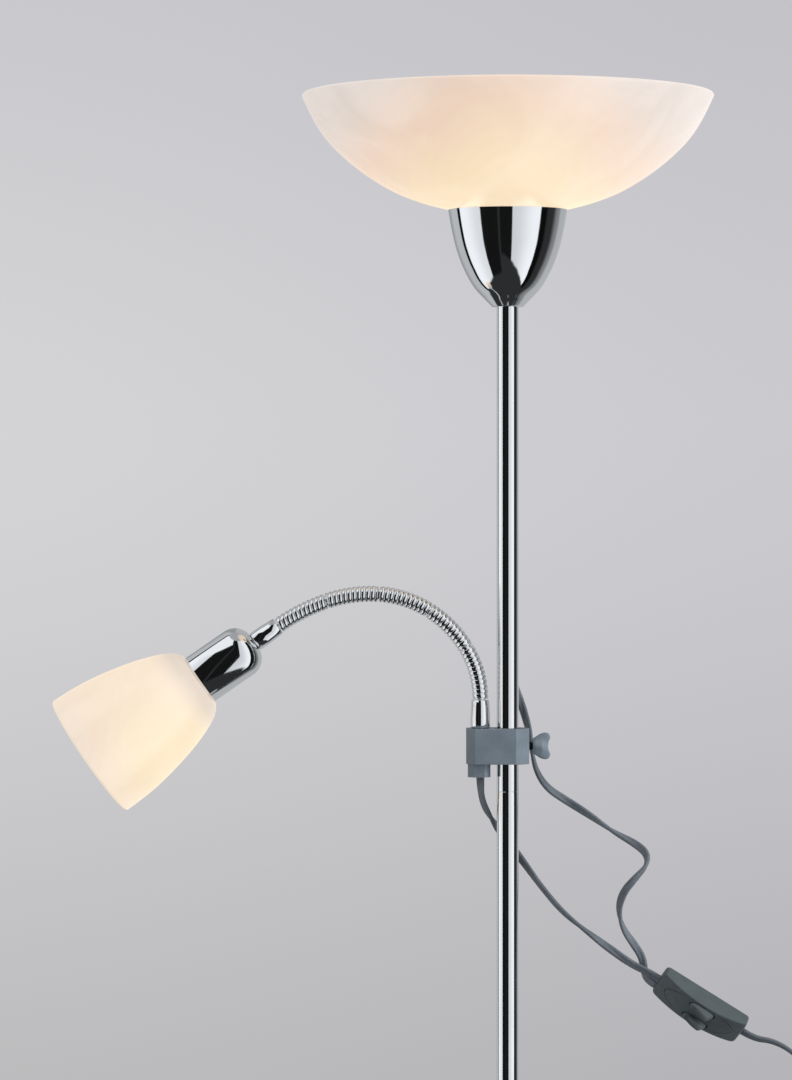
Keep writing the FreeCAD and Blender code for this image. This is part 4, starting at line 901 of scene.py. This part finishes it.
def coil_points():
    """The put-away length: a spiral in on the floor, a climb over half a turn, and a spiral out on top."""
    turn = np.linspace(0, COIL_TURNS, COIL_TURNS * COIL_PER_TURN + 1)
    share = math.pi * np.clip((turn - COIL_LEG) / COIL_CLIMB, 0, 1)
    inward = np.minimum(turn, COIL_TURNS - turn)
    climbing = (share > 0) & (share < math.pi)
    inward = np.where(climbing, COIL_LEG + COIL_CLIMB * np.sin(share) / math.pi, inward)
    radius = COIL_OUT_R - COIL_STEP * inward
    angle = 2 * math.pi * turn
    level = (1 - np.cos(share)) / 2
    return np.stack([COIL_AT[0] + radius * np.cos(angle), COIL_AT[1] + radius * np.sin(angle),
                     COIL_LOW_Z + COIL_STEP * level], -1)


def nurbs(name, points):
    """A NURBS curve of one open spline with the points as its control points."""
    data = bpy.data.curves.new(name, "CURVE")
    data.dimensions = "3D"
    spline = data.splines.new("NURBS")
    spline.points.add(len(points) - 1)
    spline.points.foreach_set("co", np.column_stack([np.array(points), np.ones(len(points))]).ravel())
    spline.order_u = 3
    spline.use_endpoint_u = True
    spline.resolution_u = 16
    return bpy.data.objects.new(name, data)


def read_line(name, points, step):
    """Even steps along the NURBS through the route."""
    line = nurbs(name + "_line", points)
    mesh = bpy.data.meshes.new_from_object(line)
    place = np.empty(len(mesh.vertices) * 3)
    mesh.vertices.foreach_get("co", place)
    place = place.reshape(-1, 3)
    bpy.data.meshes.remove(mesh)
    bpy.data.objects.remove(line)
    run = run_along(place)
    keep = np.concatenate([[True], np.diff(run) > 1e-9])
    at = np.linspace(0, run[-1], max(8, round(run[-1] / step)))
    return read_at(at, run[keep], place[keep]), at


def flex(name, points, start_side, end_side, turns, nodes, body=None, settled=None):
    """A flat two-core flex swept along its route.

    Its section is an oval with a shallow groove down each face: x = a cos^0.8, y = b sin^0.8 less a
    dent at the middle. Its wide side leaves along start_side and lies along end_side at the end, or
    from the length settled on. Between them it turns from a side vector carried along the route
    without twist, by the half turns nearest to turns, with a slow sway. Gives the piece, some points
    of its path and its length.
    """
    path, at = read_line(name, points, FLEX_STEP)
    tangent = directions(path)
    across = carried(tangent, start_side)
    other = np.cross(tangent, across)
    settled = settled or at[-1]
    there = min(np.searchsorted(at, settled), len(at) - 1)
    rest = math.atan2(np.dot(end_side, other[there]), np.dot(end_side, across[there]))
    rest += math.pi * round(2 * turns - rest / math.pi)
    share = np.clip(at / settled, 0, 1)
    twist = rest * share + FLEX_SWAY * np.sin(3 * math.pi * share)
    width = np.where(share < 1, FLEX_W, COILED_W if settled < at[-1] else FLEX_W)
    blur = np.ones(41) / 41
    width = np.convolve(np.pad(width, len(blur) // 2, "edge"), blur, "valid")[:, None]
    angle = turns_of(FLEX_SEGMENTS)
    round_x, round_y = np.cos(angle), np.sin(angle)
    x = width / 2 * np.sign(round_x) * np.abs(round_x)**FLEX_POWER
    y = FLEX_T / 2 * np.sign(round_y) * np.abs(round_y)**FLEX_POWER
    y = y * (1 - FLEX_DENT * np.exp(-(x / FLEX_DENT_W)**2))
    cos, sin = np.cos(twist)[:, None], np.sin(twist)[:, None]
    u, v = cos * x - sin * y, sin * x + cos * y
    grid = path[:, None] + u[..., None] * across[:, None] + v[..., None] * other[:, None]
    first, last = [np.repeat(end[None, None], len(angle), 1) for end in (path[0], path[-1])]
    made = piece(name, np.concatenate([first, grid, last]), FLEX, body, nodes, crease=70.0)
    return made, [tuple(p) for p in path[::4]] + [tuple(path[-1])], at[-1]


def carried(tangent, side):
    """A side vector carried along a path without twist: each step takes off what lies along the path."""
    out = np.empty_like(tangent)
    vector = np.array(side, float)
    for n, along in enumerate(tangent):
        vector = vector - along * np.dot(vector, along)
        vector = vector / np.linalg.norm(vector)
        out[n] = vector
    return out


def cord_pieces():
    """The three cords: uplight to switch, reading light to switch, and the mains lead with its coil."""
    side, across, up = (1.0, 0.0, 0.0), tuple(switch_axes()[1]), (0.0, 0.0, 1.0)
    made, path, length = flex("uplight_flex", UPLIGHT_CORD, side, across, 2.5, ["uplight_cord"], "root")

    made, path, length = flex("reading_flex_upper", READING_UPPER, side, up, 0.25, ["reading_cord_upper"])
    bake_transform(made)

    made, path, length = flex("reading_flex_lower", READING_LOWER, up, across, 0.5, ["reading_cord_lower"])
    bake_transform(made)
    mains_pieces()


def mains_pieces():
    """The mains lead down to the floor and through its tied coil to the plug."""
    plug_low, plug_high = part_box("plug_body")
    neck = np.array([(plug_low.x + plug_high.x) / 2, plug_low.y + 0.5 * MM, COIL_LOW_Z + COIL_STEP])
    route = MAINS_LEAD[:-1] + list(coil_points()) + [neck - np.array([0, 8 * MM, 0]), neck]
    made, path, length = flex("mains_flex", route, tuple(switch_axes()[1]), (0.0, 0.0, 1.0), 3.0,
                              ["mains_lead", "mains_coil"], "root", settled=MAINS_FREE_L)


# ---- plain pieces

def small_pieces():
    """The plain pieces keep their solids and take their finishes."""
    dress(FOAM, "base_pad")
    dress(IRON, "base_weight")
    dress(ZINC, "base_bolt", "pole_inserts", "top_nipple", "cup_locknut", "head_locknut", "arm_lock_nut",
          "switch_screws", "rocker_pin")
    dress(BLACK_PLASTIC, "uplight_lampholder", "uplight_shade_ring", "reading_lampholder",
          "reading_shade_ring")
    dress(CAP_METAL, "uplight_bulb_cap", "reading_bulb_cap")
    dress(CLAMP_GREY, "clamp_block", "clamp_gland", "cord_grommet", "plug_body")
    dress(BLACK_STEEL, "clamp_stud")
    dress(NYLON, "clamp_bush", "coil_tie")
    dress(SWITCH_PLAIN, "switch_back")
    dress(BRASS, "switch_terminals", "plug_pins")
    dress(FLEX, "pole_cord")
    dress(CHROME, "pole_section_top")


# ---- room

def camera():
    """The camera that took the photograph, level, with its frame shifted down."""
    data = bpy.data.cameras.new("camera")
    made = placed("camera", data)
    made.location = CAMERA_AT
    made.rotation_euler = (math.pi / 2, 0, 0)
    data.sensor_width = 36.0
    data.lens = 36.0 * FOCAL_PX / PHOTO_H
    data.shift_y = (HORIZON_PX - PHOTO_H / 2) / PHOTO_H
    data.clip_end = 100.0
    bpy.context.scene.camera = made


def bands(nodes, value, first, steps):
    """A signal that starts at a level and goes to each step's level at its edge, within a softness."""
    total = before = first
    for edge, level, soft in steps:
        total = nodes.ease(value, edge - soft, edge + soft, 0.0, level - before) + total
        before = level
    return total


def world():
    """What the camera sees behind the lamp, and the studio that the plating and the glass mirror.

    The azimuth of a direction is measured from the camera's side, -Y, towards +X. The studio has two
    tall softboxes with a black gap between them, black flags outside them, a canopy above the left
    one that reaches over the gap, and a grey ceiling.
    """
    made = bpy.data.worlds.new("studio")
    bpy.context.scene.world = made
    made.use_nodes = True
    room = Nodes(made.node_tree)
    made.node_tree.nodes.clear()
    toward = room.add("ShaderNodeTexCoord", {}, {}, "Generated")
    x, y, z = room.outputs("ShaderNodeSeparateXYZ", {0: toward}, "XYZ")
    azimuth = room.math_of("ARCTAN2", x, 0.0 - y) * (180 / math.pi)
    height = room.math_of("ARCSINE", z) * (180 / math.pi)

    side = bands(room, azimuth, 0.35, [
        (-150, 0.55, 12), (-119, 0.004, 1), (-110, 1.06, 1), (-80, 0.85, 18), (-58, 0.008, 1),
        (-22, 0.03, 2), (-18, 0.008, 2), (8, 0.75, 1), (36, 1.06, 24), (68, 0.004, 1), (84, 0.03, 4),
        (108, 0.25, 8), (124, 0.5, 6)])
    to_right = room.math_of("GREATER_THAN", azimuth, -20.0)
    uneven = 5.0 * (room.noise(toward, 5.0, 2.0) - 0.5)
    above = height + 50.0 - to_right * (11.0 - 0.27 * azimuth) + uneven
    lit = room.ease(above, -2.0, 2.0)
    wall = side * lit + 0.03 * (1.0 - lit)
    canopy = room.ease(height, 35, 38) * room.ease(azimuth, -111, -109)
    canopy = canopy * room.ease(azimuth, -31, -28, 1.0, 0.0)
    studio = wall * (1.0 - canopy) + 1.02 * canopy
    ceiling = room.ease(height, 62, 65)
    studio = studio * (1.0 - ceiling) + 0.42 * ceiling

    across = room.ease(x, -0.13, 0.13)
    lower = room.colours(across, (0.470, 0.464, 0.472), (0.425, 0.420, 0.440))
    middle = room.colours(across, (0.660, 0.660, 0.674), (0.594, 0.588, 0.621))
    upper = room.colours(across, (0.575, 0.568, 0.600), (0.540, 0.534, 0.566))
    backdrop = room.colours(room.ease(z, -0.21, 0.02), lower, middle)
    backdrop = room.colours(room.ease(z, 0.0, 0.15), backdrop, upper)

    rays = ["Is Camera Ray", "Is Transmission Ray", "Is Glossy Ray"]
    seen, through, glossy = room.outputs("ShaderNodeLightPath", {}, rays)
    direct = room.math_of("MAXIMUM", seen, through)
    ambient = room.add("ShaderNodeBackground", {}, {"Color": (0.62, 0.63, 0.66), "Strength": 0.45})
    grey = room.add("ShaderNodeCombineColor", {}, {0: studio * 0.955, 1: studio * 0.98, 2: studio})
    mirrored, behind = [room.add("ShaderNodeBackground", {}, {"Color": colour}) for colour in (grey, backdrop)]
    shown = room.add("ShaderNodeMixShader", {}, {0: glossy, 1: ambient, 2: mirrored})
    shown = room.add("ShaderNodeMixShader", {}, {0: direct, 1: shown, 2: behind})
    room.add("ShaderNodeOutputWorld", {}, {"Surface": shown})


def lamps():
    """Area lamps that light the object but aren't mirrored in it."""
    for name, size, watts, at, aim in (
            ("key", (0.9, 1.8), 22.0, (-1.5, -2.6, 1.7), (0.0, 0.0, 1.3)),
            ("fill", (0.9, 1.8), 104.0, (2.9, -0.8, 1.7), (0.0, 0.0, 1.3)),
            ("overhead", (1.8, 1.8), 24.0, (0.3, -0.5, 3.4), (0.0, 0.0, 1.4))):
        data = bpy.data.lights.new(name, "AREA")
        data.shape = "RECTANGLE"
        data.size, data.size_y = size
        data.energy = watts
        made = placed(name, data)
        made.location = at
        made.rotation_euler = (Vector(aim) - Vector(at)).to_track_quat("-Z", "Y").to_euler()
        made.visible_glossy = False
        made.visible_transmission = False


def floor():
    """A plain pale floor, far below the photograph's lower edge."""
    corner = 3.0
    mesh = bpy.data.meshes.new("floor")
    mesh.from_pydata([(-corner, -corner, 0), (corner, -corner, 0), (corner, corner, 0), (-corner, corner, 0)],
                     [], [(0, 1, 2, 3)])
    finish = Finish("floor", {"Roughness": 0.7})
    fine = finish.noise(finish.place(), 30.0, 3.0)
    finish.set({"Base Color": finish.colours(fine, (0.52, 0.52, 0.53), (0.58, 0.58, 0.59))})
    mesh.materials.append(finish.material)
    made = placed("floor", mesh)
    made.visible_glossy = False


base_pieces()
pole_pieces()
uplight_pieces()
head_pieces()
hose_pieces()
foot_pieces()
rocker_pieces()
front_piece()
wing_piece()
cord_pieces()
small_pieces()
camera()
world()
lamps()
floor()

scene = bpy.context.scene
scene.view_settings.view_transform = "Standard"
